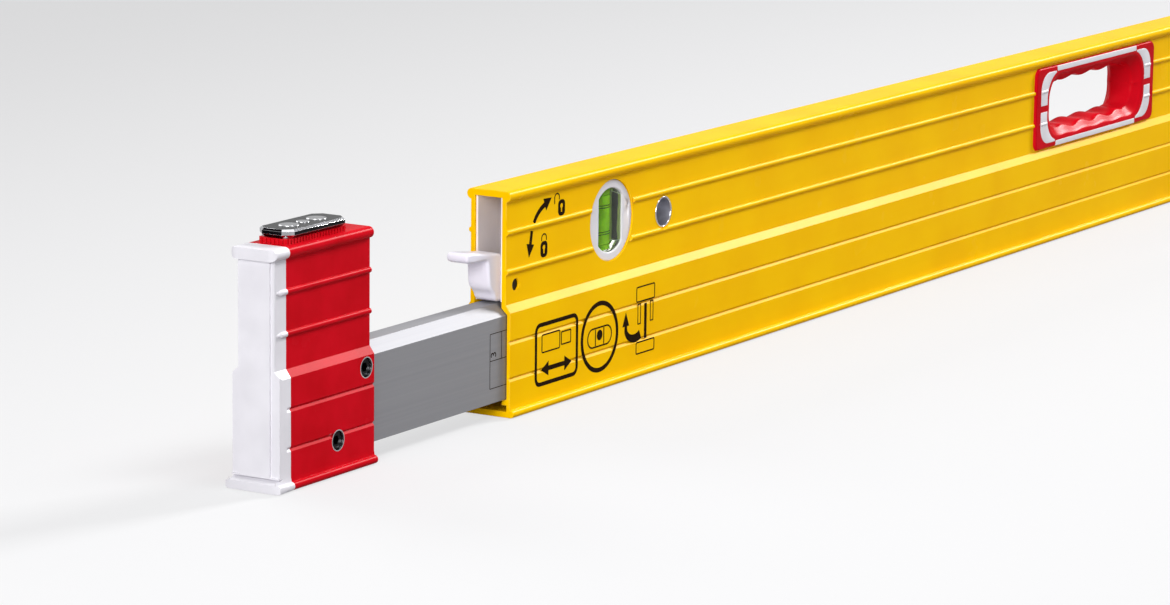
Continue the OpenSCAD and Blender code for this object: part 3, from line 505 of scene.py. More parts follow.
def buildGrip(side, s):
    cx, _, cz = middle(side + "_grip")

    # a loop with a fixed count of points: top, left, bottom and right sides with corners between
    def evenLoop(hw, hh, r, top=None):
        a, c = hw - r, hh - r
        pts = []
        for sign in (1, -1):
            for i in range(s["longSteps"]):
                x = sign * a * (1 - 2 * i / s["longSteps"])
                pts.append((x, sign * (hh + (top(x) if top else 0))))
            pts += [(sign * x, sign * z) for x, z in arc(-a, c, r, 90, 180, s["cornerSteps"])[:-1]]
            for i in range(s["shortSteps"]):
                pts.append((-sign * hw, sign * c * (1 - 2 * i / s["shortSteps"])))
            pts += [(sign * x, sign * z) for x, z in arc(-a, -c, r, 180, 270, s["cornerSteps"])[:-1]]
        return pts

    def wave(x):
        fade = min(1.0, max(0.0, (s["waveEnd"] - abs(x)) / s["waveFade"]))
        return fade * s["deep"] * (0.5 + 0.5 * math.cos(2 * math.pi * x / s["pitch"]))

    def atDepth(y, loop):
        return [(x, y, z) for x, z in loop]

    def between(a, b, t):
        return [tuple(u * (1 - t) + v * t for u, v in zip(p, q)) for p, q in zip(a, b)]

    # a rounded lip and a slanted band lead from the front to the finger hollows, and keep to their wavy rim
    turn = math.radians(s["slant"])
    flat = evenLoop(s["openHalf"] + s["lip"], s["openHigh"] + s["lip"], s["openR"] + s["lip"])
    top = s["railTop"]
    inner = evenLoop(s["railHalf"] + top, s["railHigh"] + top, s["railR"] + top, wave)

    def lipAt(a):
        loop = []
        for (x, z), (u, v) in zip(flat, inner):
            r = s["lipR"][1] + (s["lipR"][0] - s["lipR"][1]) * wave(u) / s["deep"]
            t = r * math.sin(a) / math.hypot(x - u, z - v)
            loop.append((x + (u - x) * t, s["out"] - r * (1 - math.cos(a)), z + (v - z) * t))
        return loop

    bandFront = lipAt(turn)
    bandBack = [(u, y - math.hypot(x - u, z - v) / math.tan(turn), v) for (x, y, z), (u, v) in zip(bandFront, inner)]
    rail = evenLoop(s["railHalf"], s["railHigh"], s["railR"], wave)
    front = [atDepth(y, rail) for y in s["railYs"]]
    for i in range(1, 7):
        bend = (i / 6) ** 3
        along = between(front[3], bandBack, i / 6)
        curved = between(front[3], bandBack, bend)
        front.append([(c[0], a[1], c[2]) for a, c in zip(along, curved)])
    front += [between(bandBack, bandFront, i / 5) for i in range(1, 6)]
    front += [lipAt(turn * (1 - i / 6)) for i in range(1, 7)]
    for y, cut in ((s["out"], s["outCut"]), *s["edge"], (s["under"], 0.0)):
        front.append(atDepth(y, evenLoop(s["half"] - cut, s["high"] - cut, s["corner"] - cut)))
    front.append(atDepth(s["under"], evenLoop(s["wallHalf"], s["wallHigh"], s["wallR"])))
    bm = bmesh.new()
    rings = []
    for sign, loops in ((-1, front), (1, reversed(front[1:]))):
        for loop in loops:
            rings.append([bm.verts.new((cx + x * mm, sign * y * mm, cz + z * mm)) for x, y, z in loop])
    for a, b in zip(rings, rings[1:] + rings[:1]):
        bridge(bm, a, b)
    bmesh.ops.recalc_face_normals(bm, faces=bm.faces)
    grip = makeObject(side + "_grip_moulding", bm, redPlastic, 40)
    evenNormals(grip)
    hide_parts(side + "_grip")
    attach(grip, "level_body")


# white cam lever: tab, curved tongue and cam, about its pin
leverSizes = {"half": 6.1, "edge": 1.5, "pinR": 3.06, "reach": 20, "plan": (
    (-35.7, 13.9), (-35.7, 19.2), (-30.0, 18.9), (-20.0, 17.2), (-9.0, 15.9), (-2.5, 14.7), (3.0, 11.0), (6.6, 5.0),
    (7.1, -1.0), (5.6, -5.2), (1.0, -7.5), (-6.0, -7.7), (-11.2, -6.8), (-13.0, -2.8), (-16.8, 0.2), (-17.6, 6.0),
    (-17.9, 10.8), (-18.4, 13.5), (-22.0, 13.8))}


# rounds off the corners of a plan by cutting them again and again
def cornerCut(plan, times):
    for _ in range(times):
        new = []
        for p, q in zip(plan, plan[1:] + plan[:1]):
            for share in (0.25, 0.75):
                new.append(tuple(a * (1 - share) + b * share for a, b in zip(p, q)))
        plan = new
    return plan


def buildLever(s):
    px, _, pz = middle("lever_pin")
    plan = cornerCut(list(s["plan"]), 3)[::-1]
    lever = pillow("clamp_lever_moulding", plan, s["half"], s["edge"], leverPlastic)
    lever.data.transform(Matrix.Translation((px, 0, pz)))
    through = s["reach"] * mm
    cutAway(lever, [prismY(circlePlan(px, pz, s["pinR"] * mm, 48), -through, through)])
    smooth(lever, 35)
    evenNormals(lever)
    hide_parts("lock_lever")
    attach(lever, "clamp_lever")


for side in sides:
    buildGrip(side, gripSizes)
buildLever(leverSizes)
print("grips and lever made")

# the white cap faces: depths from the flat front, the strip that stands down the middle, corners as centre and share
faceSizes = {"nose": 2.2, "strip": 7.9, "deep": 0.8, "clear": 5.0, "low": 6.6, "high": 102.5, "lowHalf": 53.7,
             "lowCorner": (4.65, 7.8, 1.0), "footCorner": (2.6, 10.95, 0.6), "footZ": 5.9, "footOut": -0.05,
             "slopeZ": 5.5, "slopeOut": -0.5, "slopeTo": 3.9, "widest": 14.74}


# where the flat front of a cap's face lies, and which way leads into the cap
def faceFront(side, s):
    lo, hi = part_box(side + "_cap_face")
    return (lo[0] + s["nose"] * mm, 1) if side == "left" else (hi[0] - s["nose"] * mm, -1)


# cutters that leave a flat strip standing down the middle of a cap's white face
def stripCuts(side, s):
    front, inward = faceFront(side, s)
    near, far = front - inward * s["clear"] * mm, front + inward * s["deep"] * mm
    low, high, half = (s[k] * mm for k in ("low", "high", "strip"))
    plan = [(near, low), (far, low), (far, high), (near, high)]
    return [prismY(plan, -reach, -half), prismY(plan, half, reach)]


# squares up the face's corners on the wide lower half, and slopes the foot's front edge
def squareCorners(side, s):
    front, inward = faceFront(side, s)

    def move(co):
        depth, y, z = (co.x - front) * inward / mm, abs(co.y) / mm, co.z / mm
        if z > s["lowHalf"]:
            return
        cx, cy, share = s["footCorner"] if z < s["footZ"] or depth < s["footOut"] else s["lowCorner"]
        dx, dy = cx - depth, y - cy
        if dx > 0 and dy > 0:
            k = 1 + share * (math.hypot(dx, dy) / max(dx, dy) - 1)
            depth, y = cx - dx * k, min(cy + dy * k, s["widest"])
        if z > s["slopeZ"] and depth < s["slopeOut"]:
            z = s["slopeTo"]
        co.x, co.y, co.z = front + inward * depth * mm, math.copysign(y * mm, co.y), z * mm
    return move


# mouldings with broken edges: widths of the edges, the bracket's plate and a dimple in the round housings
softSizes = {"cap": 0.45, "face": 0.22, "guide": 0.3, "bracket": 0.35, "studs": 0.25, "housing": 0.5, "eye": 0.4,
             "bar": 0.3, "plate": 4.05, "plateCorner": 0.25, "dimple": (16.2, 5.5, 0.75), "dimpleDeep": 1.6,
             "dimpleReach": 20}


def buildMouldings(s):
    for side, capBody, standBody in (("left", "extension", "left_standoff"), ("right", "level_body", "right_standoff")):
        softenedCopy(side + "_cap_body", s["cap"], redPlastic, capBody)
        softenedCopy(side + "_cap_face", s["face"], whitePlastic, capBody, 2, 18, squareCorners(side, faceSizes),
                     stripCuts(side, faceSizes))
        softenedCopy(side + "_cap_guide", s["guide"], redPlastic, capBody)
        bracket = softenedCopy(side + "_standoff_bracket", s["bracket"], chromePaintedDark, standBody, highlightMat=steelBright)
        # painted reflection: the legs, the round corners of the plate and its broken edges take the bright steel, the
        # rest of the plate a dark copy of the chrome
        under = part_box(side + "_standoff_bracket")[1][2] - s["plate"] * mm
        for face in bracket.data.polygons:
            if face.center.z < under or min(abs(face.normal.x), abs(face.normal.y)) > s["plateCorner"]:
                face.material_index = 1
        softenedCopy(side + "_standoff_studs", s["studs"], steelBright, standBody)
        ring = softenedCopy(side + "_plumb_housing", s["housing"], whitePlastic, "level_body")
        x, _, z = middle(side + "_plumb_housing")
        lo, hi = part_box(side + "_plumb_housing")
        dx, dz, r = (v * mm for v in s["dimple"])
        dimple = circlePlan(x + dx, z + dz, r, 20)
        deep, out = s["dimpleDeep"] * mm, s["dimpleReach"] * mm
        cutAway(ring, [prismY(dimple, -out, lo[1] + deep), prismY(dimple, hi[1] - deep, out)])
    # bright steel on the eye's broken edges: a painted highlight
    softenedCopy("hanging_eye", s["eye"], nickel, "level_body", highlightMat=steelBright)
    softenedCopy("level_housing", s["housing"], whitePlastic, "level_body")
    softenedCopy("extension_bar", s["bar"], barMetal, "extension")


buildMouldings(softSizes)
print("mouldings softened")

# clear vial blocks without the bore, so that light bends once at their faces, and the liquid in the upright ones
vialSizes = {"boreR": 5.38, "endR": 0.9, "endLong": 0.5, "windowR": 15.75, "windowHalf": 10.85, "y": 8.4, "edge": 0.25,
             "levelHalf": 26.95, "levelHigh": 9.45, "levelR": 3.0}


# a turned piece about Z from radius and height pairs
def turned(name, profile, mat, steps=48):
    bm = bmesh.new()
    loops = [[bm.verts.new((x, y, z)) for x, y in circlePlan(0, 0, r, steps)] for r, z in profile]
    for a, b in zip(loops, loops[1:]):
        bridge(bm, a, b)
    bm.faces.new(loops[0])
    bm.faces.new(loops[-1])
    bmesh.ops.recalc_face_normals(bm, faces=bm.faces)
    return makeObject(name, bm, mat)


# a clear block in place of a vial; its long sides, across the axis, take a painted shade
def clearBlock(name, node, plan, axis, s):
    x, _, z = middle(node)
    block = pillow(name, plan, s["y"], s["edge"], acrylic, 25)
    # a second slot with the painted shade for the long sides
    block.data.materials.append(sideShade)
    for face in block.data.polygons:
        if abs(face.normal[axis]) > 0.9:
            face.material_index = 1
    block.data.transform(Matrix.Translation((x, 0, z)))
    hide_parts(node)
    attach(block, "level_body")


def buildVialBlocks(s):
    span = math.degrees(math.acos(s["windowHalf"] / s["windowR"]))
    window = arc(0, 0, s["windowR"], span, 180 - span, 24) + arc(0, 0, s["windowR"], 180 + span, 360 - span, 24)
    for side in sides:
        clearBlock(side + "_plumb_block", side + "_plumb_vial", window, 0, s)
        x, _, z = middle(side + "_plumb_vial")
        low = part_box(side + "_plumb_liquid")[0][2] - z
        r, end = s["boreR"] * mm, s["endLong"] * mm
        profile = [(r * s["endR"], low), (r, low + end), (r, -low - end), (r * s["endR"], -low)]
        spirit = turned(side + "_plumb_spirit", profile, liquid)
        spirit.data.transform(Matrix.Translation((x, 0, z)))
        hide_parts(side + "_plumb_liquid")
        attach(spirit, "level_body")
    clearBlock("level_block", "level_vial", roundPlan(0, 0, s["levelHalf"], s["levelHigh"], s["levelR"]), 2, s)


buildVialBlocks(vialSizes)
print("vial blocks made")


# Geometry Nodes for a row of one small shape, which is linked to Instance afterwards
def rowTree(name, inputs):
    tree = bpy.data.node_groups.new(name, "GeometryNodeTree")
    sockets = {"Count": "Int", "Start": "Vector", "Step": "Vector", "Turn": "Vector", **inputs, "Material": "Material"}
    for title, kind in sockets.items():
        tree.interface.new_socket(title, in_out="INPUT", socket_type="NodeSocket" + kind)
    tree.interface.new_socket("Geometry", in_out="OUTPUT", socket_type="NodeSocketGeometry")
    given = addNode(tree, "NodeGroupInput")
    line = addNode(tree, "GeometryNodeMeshLine", {"mode": "OFFSET"},
                   {"Count": (given, "Count"), "Start Location": (given, "Start"), "Offset": (given, "Step")})
    put = addNode(tree, "GeometryNodeInstanceOnPoints", links={"Points": (line, "Mesh"), "Rotation": (given, "Turn")})
    real = addNode(tree, "GeometryNodeRealizeInstances", links={"Geometry": (put, "Instances")})
    paint = addNode(tree, "GeometryNodeSetMaterial",
                    links={"Geometry": (real, "Geometry"), "Material": (given, "Material")})
    addNode(tree, "NodeGroupOutput", links={"Geometry": (paint, "Geometry")})
    return tree, given, put


bars, given, put = rowTree("rowOfBars", {"Size": "Vector"})
bar = addNode(bars, "GeometryNodeMeshCube", links={"Size": (given, "Size")})
bars.links.new(bar.outputs["Mesh"], put.inputs["Instance"])

rings, given, put = rowTree("rowOfRings", {"Radius": "Float", "Thick": "Float"})
path = addNode(rings, "GeometryNodeCurvePrimitiveCircle", {"Resolution": 48}, {"Radius": (given, "Radius")})
wire = addNode(rings, "GeometryNodeCurvePrimitiveCircle", {"Resolution": 8}, {"Radius": (given, "Thick")})
ring = addNode(rings, "GeometryNodeCurveToMesh", links={"Curve": (path, "Curve"), "Profile Curve": (wire, "Curve")})
rings.links.new(ring.outputs["Mesh"], put.inputs["Instance"])

ribs, given, put = rowTree("rowOfRibs", {"Radius": "Float", "Length": "Float"})
rib = addNode(ribs, "GeometryNodeMeshCylinder", {"Vertices": 14},
              {"Radius": (given, "Radius"), "Depth": (given, "Length")})
ribs.links.new(rib.outputs["Mesh"], put.inputs["Instance"])


# runs a tree once and keeps its result as a plain mesh
def grow(tree, values):
    obj = addObject("row", bpy.data.meshes.new("row"))
    mod = obj.modifiers.new("grow", "NODES")
    mod.node_group = tree
    for item in tree.interface.items_tree:
        if item.in_out == "INPUT" and item.name in values:
            mod[item.identifier] = values[item.name]
    bakeModifiers(obj)
    return obj


# joins several plain pieces into one of a single material
def joinPieces(name, pieces, mat):
    bm = bmesh.new()
    for piece in pieces:
        mesh = piece.data
        bm.from_mesh(mesh)
        bpy.data.objects.remove(piece)
        bpy.data.meshes.remove(mesh)
    for face in bm.faces:
        face.material_index = 0
    return makeObject(name, bm, mat, 35)


# pairs of black lines round the vials
ringSizes = {"reach": 6.4, "pair": 1.15, "radius": 5.46, "thick": 0.17}


def buildRings(s):
    for name, node, axis, turn in (("left", "left_plumb_vial", 2, 0.0), ("right", "right_plumb_vial", 2, 0.0),
                                   ("level", "level_vial", 0, math.pi / 2)):
        pairs = []
        for sign in (-1, 1):
            start = middle(node)
            start[axis] += (sign * s["reach"] - s["pair"] / 2) * mm
            step = [0.0, 0.0, 0.0]
            step[axis] = s["pair"] * mm
            pairs.append(grow(rings, {"Count": 2, "Start": start, "Step": step, "Turn": (0.0, turn, 0.0),
                                      "Radius": s["radius"] * mm, "Thick": s["thick"] * mm, "Material": ink}))
        piece = joinPieces(name + "_vial_lines", pairs, ink)
        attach(piece, "level_body")


buildRings(ringSizes)
print("vial lines made")

# white inlays of the hand holes: a strip above and below, and four pieces that thicken round the corners
inlaySizes = {"strip": (54.0, 20.2, 23.2), "outer": (74.6, 20.6, 10.5), "inner": (66.2, 19.8, 15.0), "tip": 55.0,
              "gap": 1.8, "half": 0.6, "edge": 0.28, "y": 11.12}


def buildInlays(side, s):
    cx, _, cz = middle(side + "_grip")
    half, low, high = s["strip"]
    (ox, oz, ro), (ix, iz, ri) = s["outer"], s["inner"]
    corner = [(ox, s["gap"])] + arc(ox - ro, oz - ro, ro, 0, 90, 12) + [(s["tip"], oz)]
    start = math.degrees(math.acos((s["tip"] - ix + ri) / ri))
    corner += arc(ix - ri, iz - ri, ri, start, 0, 14) + [(ix, s["gap"])]
    pieces = []
    for sy in (-1, 1):
        for sz in (-1, 1):
            plan = [(half, sz * low), (half, sz * high), (-half, sz * high), (-half, sz * low)]
            plans = [plan[::sz]]
            for sx in (-1, 1):
                plans.append([(sx * x, sz * z) for x, z in corner][::sx * sz])
            for plan in plans:
                piece = pillow("inlay", plan, s["half"], s["edge"], whitePlastic)
                piece.data.transform(Matrix.Translation((cx, sy * s["y"] * mm, cz)))
                pieces.append(piece)
    inlay = joinPieces(side + "_inlay_moulding", pieces, whitePlastic)
    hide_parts(side + "_grip_inlays")
    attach(inlay, "level_body")


for side in sides:
    buildInlays(side, inlaySizes)
print("inlays made")

# ribs across the white inlays, and fine ribs round the seat under each stand-off
ribSizes = {"inlayX": 70.4, "inlayLong": 7.9, "inlayR": 1.1, "inlayY": 11.1, "seatX": 23.6, "seatY": 7.7,
            "seatZ": 109.15, "alongX": 20, "alongY": 6, "pitch": 2.2, "wide": 1.0, "out": 0.9, "high": 2.3}


def buildRibs(s):
    z0, z1 = bodySizes["ribs"]
    for side, capBody in (("left", "extension"), ("right", "level_body")):
        cx = middle(side + "_grip")[0]
        rows = []
        for sx in (-1, 1):
            for sy in (-1, 1):
                rows.append(grow(ribs, {
                    "Count": 2, "Start": (cx + sx * s["inlayX"] * mm, sy * s["inlayY"] * mm, z0 * mm),
                    "Step": (0.0, 0.0, (z1 - z0) * mm), "Turn": (0.0, math.pi / 2, 0.0), "Radius": s["inlayR"] * mm,
                    "Length": s["inlayLong"] * mm, "Material": whitePlastic}))
        piece = joinPieces(side + "_inlay_ribs", rows, whitePlastic)
        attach(piece, "level_body")
        cx = middle(side + "_standoff_bracket")[0]
        wide, out, high, pitch, seatZ = (s[k] * mm for k in ("wide", "out", "high", "pitch", "seatZ"))
        backX, backY = ((s[k] - 1) / 2 * pitch for k in ("alongX", "alongY"))
        rows = []
        for sign in (-1, 1):
            rows.append(grow(bars, {
                "Count": s["alongX"], "Start": (cx - backX, sign * s["seatY"] * mm, seatZ),
                "Step": (pitch, 0.0, 0.0), "Size": (wide, out, high), "Material": redPlastic}))
            rows.append(grow(bars, {
                "Count": s["alongY"], "Start": (cx + sign * s["seatX"] * mm, -backY, seatZ),
                "Step": (0.0, pitch, 0.0), "Size": (out, wide, high), "Material": redPlastic}))
        piece = joinPieces(side + "_seat_ribs", rows, redPlastic)
        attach(piece, capBody)


buildRibs(ribSizes)
print("ribs made")


inkHalf = 0.03


# a flat curve as a thin printed mesh that stands upright, its origin at x, y and z
def inkMesh(name, curve, x, y, z, turn=0.0):
    curve.extrude = inkHalf * mm
    shape = addObject(name, curve)
    mesh = bpy.data.meshes.new_from_object(shape.evaluated_get(bpy.context.evaluated_depsgraph_get()))
    bpy.data.objects.remove(shape)
    bpy.data.curves.remove(curve)
    upright = Matrix(((1, 0, 0, x), (0, 0, -1, y), (0, 1, 0, z), (0, 0, 0, 1)))
    mesh.transform(upright @ Matrix.Rotation(turn, 4, "Z"))
    mesh.name = name
    mesh.materials.clear()
    mesh.materials.append(ink)
    return addObject(name, mesh)


# flat printed marks on the body: loops in X and Z, holes as further loops, laid on a face at y
def printMarks(name, loops, y):
    curve = bpy.data.curves.new(name, "CURVE")
    curve.dimensions = "2D"
    curve.fill_mode = "BOTH"
    for loop in loops:
        spline = curve.splines.new("POLY")
        spline.points.add(len(loop) - 1)
        for point, (x, z) in zip(spline.points, loop):
            point.co = (x * mm, z * mm, 0, 1)
        spline.use_cyclic_u = True
    marks = inkMesh(name, curve, bodyX, y * mm, 0)
    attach(marks, "level_body")


# a line of some width through points, as one closed loop; widths may differ at its two ends
def stroke(points, w0, w1=None):
    w1 = w0 if w1 is None else w1
    left, right = [], []
    n = len(points)
    for i, (x, z) in enumerate(points):
        a = points[max(0, i - 1)]
        b = points[min(n - 1, i + 1)]
        d = Vector((b[0] - a[0], b[1] - a[1])).normalized()
        w = (w0 + (w1 - w0) * i / (n - 1)) / 2
        left.append((x - d.y * w, z + d.x * w))
        right.append((x + d.y * w, z - d.x * w))
    return left + right[::-1]


# an arrow along points as one closed loop, with a head at its end and, if wanted, one at its start
def arrow(points, w0, w1, length, width, both=False):
    def head(a, b):
        d = Vector((b[0] - a[0], b[1] - a[1])).normalized()
        x, z = b
        return [(x - d.y * width / 2, z + d.x * width / 2), (x + d.x * length, z + d.y * length),
                (x + d.y * width / 2, z - d.x * width / 2)]

    n = len(points)
    body = stroke(points, w0, w1)
    loop = body[:n] + head(points[-2], points[-1]) + body[n:]
    return loop + head(points[1], points[0]) if both else loop


def frameLoops(x, z, hw, hh, r, w):
    return [roundPlan(x, z, hw, hh, r), roundPlan(x, z, hw - w, hh - w, max(0.3, r - w))]


# a padlock about the middle of its case: case, keyhole and bow, which stands aside when it is open
lockSizes = {"case": (3.1, 3.9, 2.4), "keyR": 1.2, "keyZ": 0.9, "slot": 0.55, "slotZ": -2.1, "bow": 2.1, "bowRise": 1.9,
             "bowZ": 5.4, "foot": 4.1, "openFoot": 2.4, "line": 0.7}


def padlock(x, z, aside, s):
    key = arc(x, z + s["keyZ"], s["keyR"], -60, 240, 15)
    key = [(x + s["slot"], z + s["slotZ"])] + key + [(x - s["slot"], z + s["slotZ"])]
    left, right, bend = x + aside - s["bow"], x + aside + s["bow"], z + s["bowZ"]
    bow = [(left, z + s["openFoot" if aside else "foot"]), (left, bend)]
    for turn in range(15, 180, 15):
        t = math.radians(turn)
        bow.append((x + aside - s["bow"] * math.cos(t), bend + s["bowRise"] * math.sin(t)))
    bow += [(right, bend), (right, z + s["foot"])]
    return [roundPlan(x, z, *s["case"]), key, stroke(bow, s["line"])]


# operating marks on the front, in mm from the body's end
# arrows: widths at both ends, length and width of the head; frames: middle, half sizes, corner and line
markSizes = {
    "upperY": -9.92, "lowerY": -12.47, "openLock": (49.2, 93.8, -4.2), "shutLock": (33.6, 75.9, 0),
    "openWay": ((24.4, 89.8), (26.2, 92.2), (28.4, 94.2), (31.0, 95.9), (34.0, 97.2)),
    "openArrow": (2.3, 2.6, 6.6, 6.6),
    "shutWay": ((22.6, 86.2), (21.4, 80.0)), "shutArrow": (2.3, 2.3, 6.4, 6.8),
    "slideFrames": ((41.8, 26.0, 19.6, 15.4, 4.5, 2.0), (36.6, 31.0, 8.4, 4.6, 1.2, 0.7),
                    (50.4, 31.0, 4.6, 3.4, 0.8, 0.7)),
    "slideWay": ((34.6, 18.4), (49.0, 18.4)), "slideArrow": (2.2, 2.2, 6.6, 7.2, True),
    "vialAt": (81.5, 26.0), "vialRing": (17.6, 15.3), "vialFrame": (11.5, 5.0, 5.0, 0.8), "vialLine": (3.9, 4.05, 0.8),
    "bubble": (0.8, 2.6),
    "liftFrames": ((125.0, 41.0, 9.0, 4.0, 1.2, 0.7), (119.0, 31.2, 1.6, 5.2, 0.4, 0.6),
                   (131.0, 31.2, 1.6, 5.2, 0.4, 0.6)), "liftFoot": (125.0, 14.2, 9.0, 3.2, 1.2, 0.7),
    "liftWay": ((125.0, 35.8), (125.0, 18.2)), "liftLine": 2.4, "sweep": (114.6, 25.6, 8.4, 5.8),
    "sweepEnd": (106.2, 27.0), "sweepArrow": (4.8, 2.4, 7.0, 6.4)}


def buildMarks(s):
    up = [arrow(s["openWay"], *s["openArrow"])] + padlock(*s["openLock"], lockSizes)
    up += [arrow(s["shutWay"], *s["shutArrow"])] + padlock(*s["shutLock"], lockSizes)
    printMarks("upper_marks", up, s["upperY"])
    x, z = s["vialAt"]
    aside, half, line = s["vialLine"]
    low = []
    for sizes in s["slideFrames"]:
        low += frameLoops(*sizes)
    low.append(arrow(s["slideWay"], *s["slideArrow"]))
    low += [circlePlan(x, z, r, 72) for r in s["vialRing"]] + frameLoops(x, z, *s["vialFrame"])
    for at in (x - aside, x + aside):
        low.append(stroke([(at, z - half), (at, z + half)], line))
    low.append(circlePlan(x, z + s["bubble"][0], s["bubble"][1], 32))
    printMarks("lower_marks", low, s["lowerY"])
    lift = []
    for sizes in s["liftFrames"]:
        lift += frameLoops(*sizes)
    lift += [stroke(s["liftWay"], s["liftLine"])] + frameLoops(*s["liftFoot"])
    cx, cz, rx, rz = s["sweep"]
    turns = [math.radians(a) for a in range(130, -1, -10)]
    sweep = [(cx - rx * math.cos(t), cz - rz * math.sin(t)) for t in turns]
    lift.append(arrow(sweep + [s["sweepEnd"]], *s["sweepArrow"]))
    printMarks("standoff_marks", lift, s["lowerY"])


buildMarks(markSizes)
print("marks printed")

# ruled scale on the bar, in mm from the body's end; it runs on inside the body
scaleSizes = {"start": -14.0, "end": 1190.0, "low": 16.2, "middle": 29.4, "high": 42.3, "fine": 0.35, "thick": 0.06,
              "y": -10.36, "fineStep": 10.0, "wideStep": 20.0, "digits": range(3, 15), "apart": 100, "digitHigh": 6.5,
              "digitX": 5.2, "digitZ": 1.2}


def buildScale(s):
    long = s["end"] - s["start"]
    fine, thick, y = (s[k] * mm for k in ("fine", "thick", "y"))
    startX = bodyX + s["start"] * mm
    parts = []
    for z in (s["low"], s["middle"], s["high"]):
        parts.append(grow(bars, {"Count": 1, "Start": (startX + long / 2 * mm, y, z * mm),
                                 "Size": (long * mm, thick, fine), "Material": ink}))
    for low, high, step in ((s["middle"], s["high"], s["fineStep"]), (s["low"], s["middle"], s["wideStep"])):
        parts.append(grow(bars, {
            "Count": int(long / step) + 1, "Start": (startX, y, (low + high) / 2 * mm),
            "Step": (step * mm, 0.0, 0.0), "Size": (fine, thick, (high - low) * mm), "Material": ink}))
    for k, number in enumerate(s["digits"]):
        text = bpy.data.curves.new("digit", "FONT")
        text.body = str(number)
        text.size = s["digitHigh"] * mm
        parts.append(inkMesh("digit", text, startX + (s["digitX"] + s["apart"] * k) * mm, y,
                             (s["middle"] + s["digitZ"]) * mm, math.pi / 2))
    scale = joinPieces("bar_scale", parts, ink)
    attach(scale, "extension")


buildScale(scaleSizes)
print("scale ruled")

# stage, light and camera; the floor is palest along the object and fades to grey, sizes in metres
stageSizes = {"floor": 30.0, "floorHex": "#EFEFF0", "farHex": "#CECECF", "bounceHex": "#8E8E90", "worldHex": "#F4F5F6",
              "shift": 0.25, "fade": 1.5, "evenFrom": 1.2, "evenTo": 3.4, "glow": 0.75, "lessGloss": 0.8,
              "worldLight": 0.15, "worldGloss": 0.45, "below": -0.0002}


def buildStage(s):
    bm = bmesh.new()
    bmesh.ops.create_grid(bm, x_segments=1, y_segments=1, size=s["floor"])
    mat, tree, shader, place = newMaterial("studio_floor", {"Roughness": 0.9, "Specular IOR Level": 0.1})
    axis = addNode(tree, "ShaderNodeSeparateXYZ", links={"Vector": (place, "Object")})
    shift = addNode(tree, "ShaderNodeMath", {"operation": "ADD", 1: s["shift"]}, {0: (axis, "Y")})
    away = addNode(tree, "ShaderNodeMath", {"operation": "ABSOLUTE"}, {0: (shift, 0)})
    span = addNode(tree, "ShaderNodeMapRange", {"interpolation_type": "SMOOTHSTEP", "From Max": s["fade"]},
                   {"Value": (away, 0)})
    ramp = addNode(tree, "ShaderNodeValToRGB", {"stops": ((0.0, s["floorHex"]), (1.0, s["farHex"]))},
                   {"Fac": (span, "Result")})
    tree.links.new(ramp.outputs["Color"], shader.inputs["Base Color"])
    # far from the object it shows its own even grey, also close to a lamp
    glow = addNode(tree, "ShaderNodeEmission", links={"Color": (ramp, "Color")})
    far = addNode(tree, "ShaderNodeVectorMath", {"operation": "LENGTH"}, {0: (place, "Object")})
    even = addNode(tree, "ShaderNodeMapRange", {
        "interpolation_type": "SMOOTHSTEP", "From Min": s["evenFrom"], "From Max": s["evenTo"], "To Min": s["glow"]},
        {"Value": (far, "Value")})
    half = addNode(tree, "ShaderNodeMixShader", links={0: (even, "Result"), 1: (shader, "BSDF"), 2: (glow, "Emission")})
    # it throws less light back on the object than it shows
    path = addNode(tree, "ShaderNodeLightPath")
    dim = addNode(tree, "ShaderNodeBsdfDiffuse", {"Color": hexToLinear(s["bounceHex"])})
    less = addNode(tree, "ShaderNodeMath", {"operation": "MULTIPLY_ADD", 1: s["lessGloss"]},
                   {0: (path, "Is Glossy Ray"), 2: (path, "Is Diffuse Ray")})
    mix = addNode(tree, "ShaderNodeMixShader", links={0: (less, 0), 1: (half, "Shader"), 2: (dim, "BSDF")})
    tree.links.new(mix.outputs["Shader"], tree.nodes["Material Output"].inputs["Surface"])
    floor = makeObject("floor", bm, mat)
    floor.location.z = s["below"]
    world = bpy.data.worlds.new("studio")
    bpy.context.scene.world = world
    world.use_nodes = True
    tree = world.node_tree
    tree.nodes.clear()
    sky = addNode(tree, "ShaderNodeBackground", {"Color": hexToLinear(s["worldHex"]), "Strength": s["worldLight"]})
    seen = addNode(tree, "ShaderNodeBackground", {"Color": hexToLinear(s["worldHex"]), "Strength": 1.0})
    path = addNode(tree, "ShaderNodeLightPath")
    clear = addNode(tree, "ShaderNodeMath", {"operation": "MAXIMUM"},
                    {0: (path, "Is Camera Ray"), 1: (path, "Is Transmission Ray")})
    shown = addNode(tree, "ShaderNodeMath", {"operation": "MULTIPLY_ADD", 1: s["worldGloss"]},
                    {0: (path, "Is Glossy Ray"), 2: (clear, 0)})
    mix = addNode(tree, "ShaderNodeMixShader", links={0: (shown, 0), 1: (sky, "Background"), 2: (seen, "Background")})
    addNode(tree, "ShaderNodeOutputWorld", links={"Surface": (mix, "Shader")})


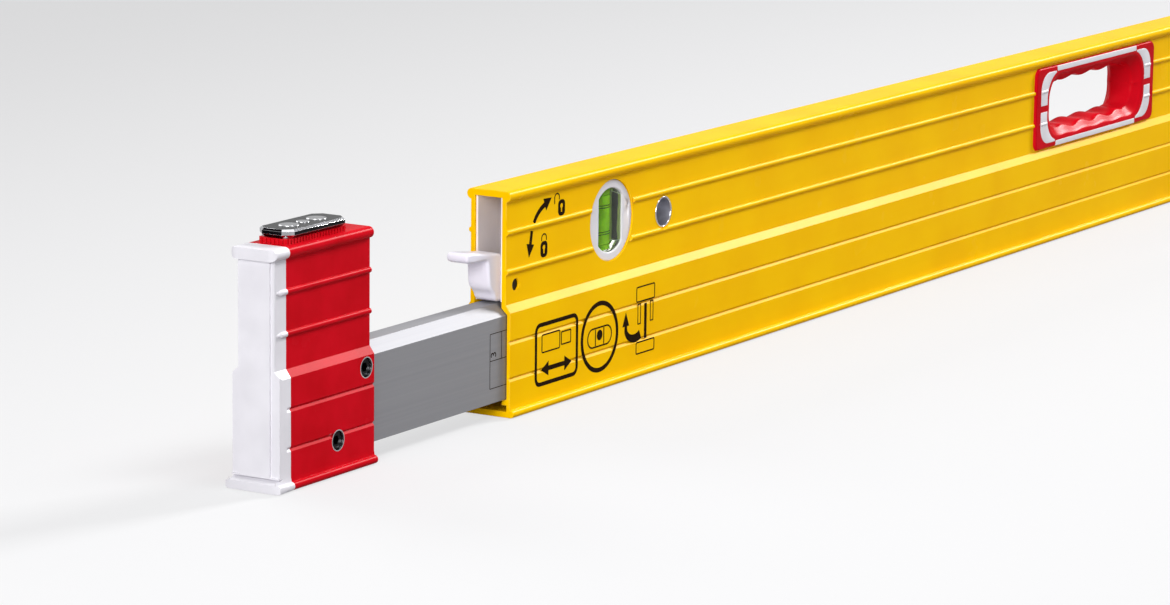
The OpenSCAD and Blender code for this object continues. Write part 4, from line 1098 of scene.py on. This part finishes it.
lampSizes = {
    "gloss": {"at": (10.25, -3.1, 6.0), "aim": (-0.5, 0, 0.05), "size": 2.65, "watts": 1690},
    "key": {"at": (-0.6, -3.0, 5.0), "aim": (-0.3, 0, 0.05), "size": 1.7, "watts": 88},
    "left": {"at": (-5.98, -1.5, 1.79), "aim": (-0.85, 0, 0.05), "size": 2.8, "watts": 292},
    "top": {"at": (-0.3, 0.6, 3.9), "aim": (-0.3, 0, 0.05), "size": 3.3, "watts": 36},
    "back": {"at": (0.4, 4.5, 2.8), "aim": (0.0, 0, 0.05), "size": 3.0, "watts": 130}}


def buildLamps(lamps):
    for name, s in lamps.items():
        data = bpy.data.lights.new(name + "_softbox", "AREA")
        data.size = s["size"]
        data.energy = s["watts"]
        lamp = addObject(name + "_softbox", data)
        lamp.location = s["at"]
        aim = Vector(s["aim"]) - Vector(s["at"])
        lamp.rotation_euler = aim.to_track_quat("-Z", "Y").to_euler()


# the camera that was fitted to the photograph: angles in degrees, sizes in mm, aimed at the body's bar end
cameraSizes = {"azimuth": -58.73, "elevation": 10.81, "roll": 0.66, "distance": 2152.1, "right": -45.69, "up": -0.26,
               "aimZ": 54.0, "lens": 140.78, "sensor": 36, "farthest": 100}


def buildCamera(s):
    az, el, roll = (math.radians(s[k]) for k in ("azimuth", "elevation", "roll"))
    back = Vector((math.sin(az) * math.cos(el), -math.cos(az) * math.cos(el), math.sin(el)))
    right = (-back).cross(Vector((0, 0, 1))).normalized()
    up = right.cross(-back)
    r2 = math.cos(roll) * right + math.sin(roll) * up
    u2 = -math.sin(roll) * right + math.cos(roll) * up
    aim = Vector((bodyX, 0, s["aimZ"] * mm))
    place = aim + back * s["distance"] * mm - r2 * s["right"] * mm - u2 * s["up"] * mm
    data = bpy.data.cameras.new("camera")
    data.lens = s["lens"]
    data.sensor_width = s["sensor"]
    data.clip_end = s["farthest"]
    camera = addObject("camera", data)
    camera.matrix_world = Matrix(((r2.x, u2.x, back.x, place.x), (r2.y, u2.y, back.y, place.y),
                                  (r2.z, u2.z, back.z, place.z), (0, 0, 0, 1)))
    bpy.context.scene.camera = camera


buildStage(stageSizes)
buildLamps(lampSizes)
buildCamera(cameraSizes)
bpy.context.scene.view_settings.view_transform = "Standard"
print("stage set")
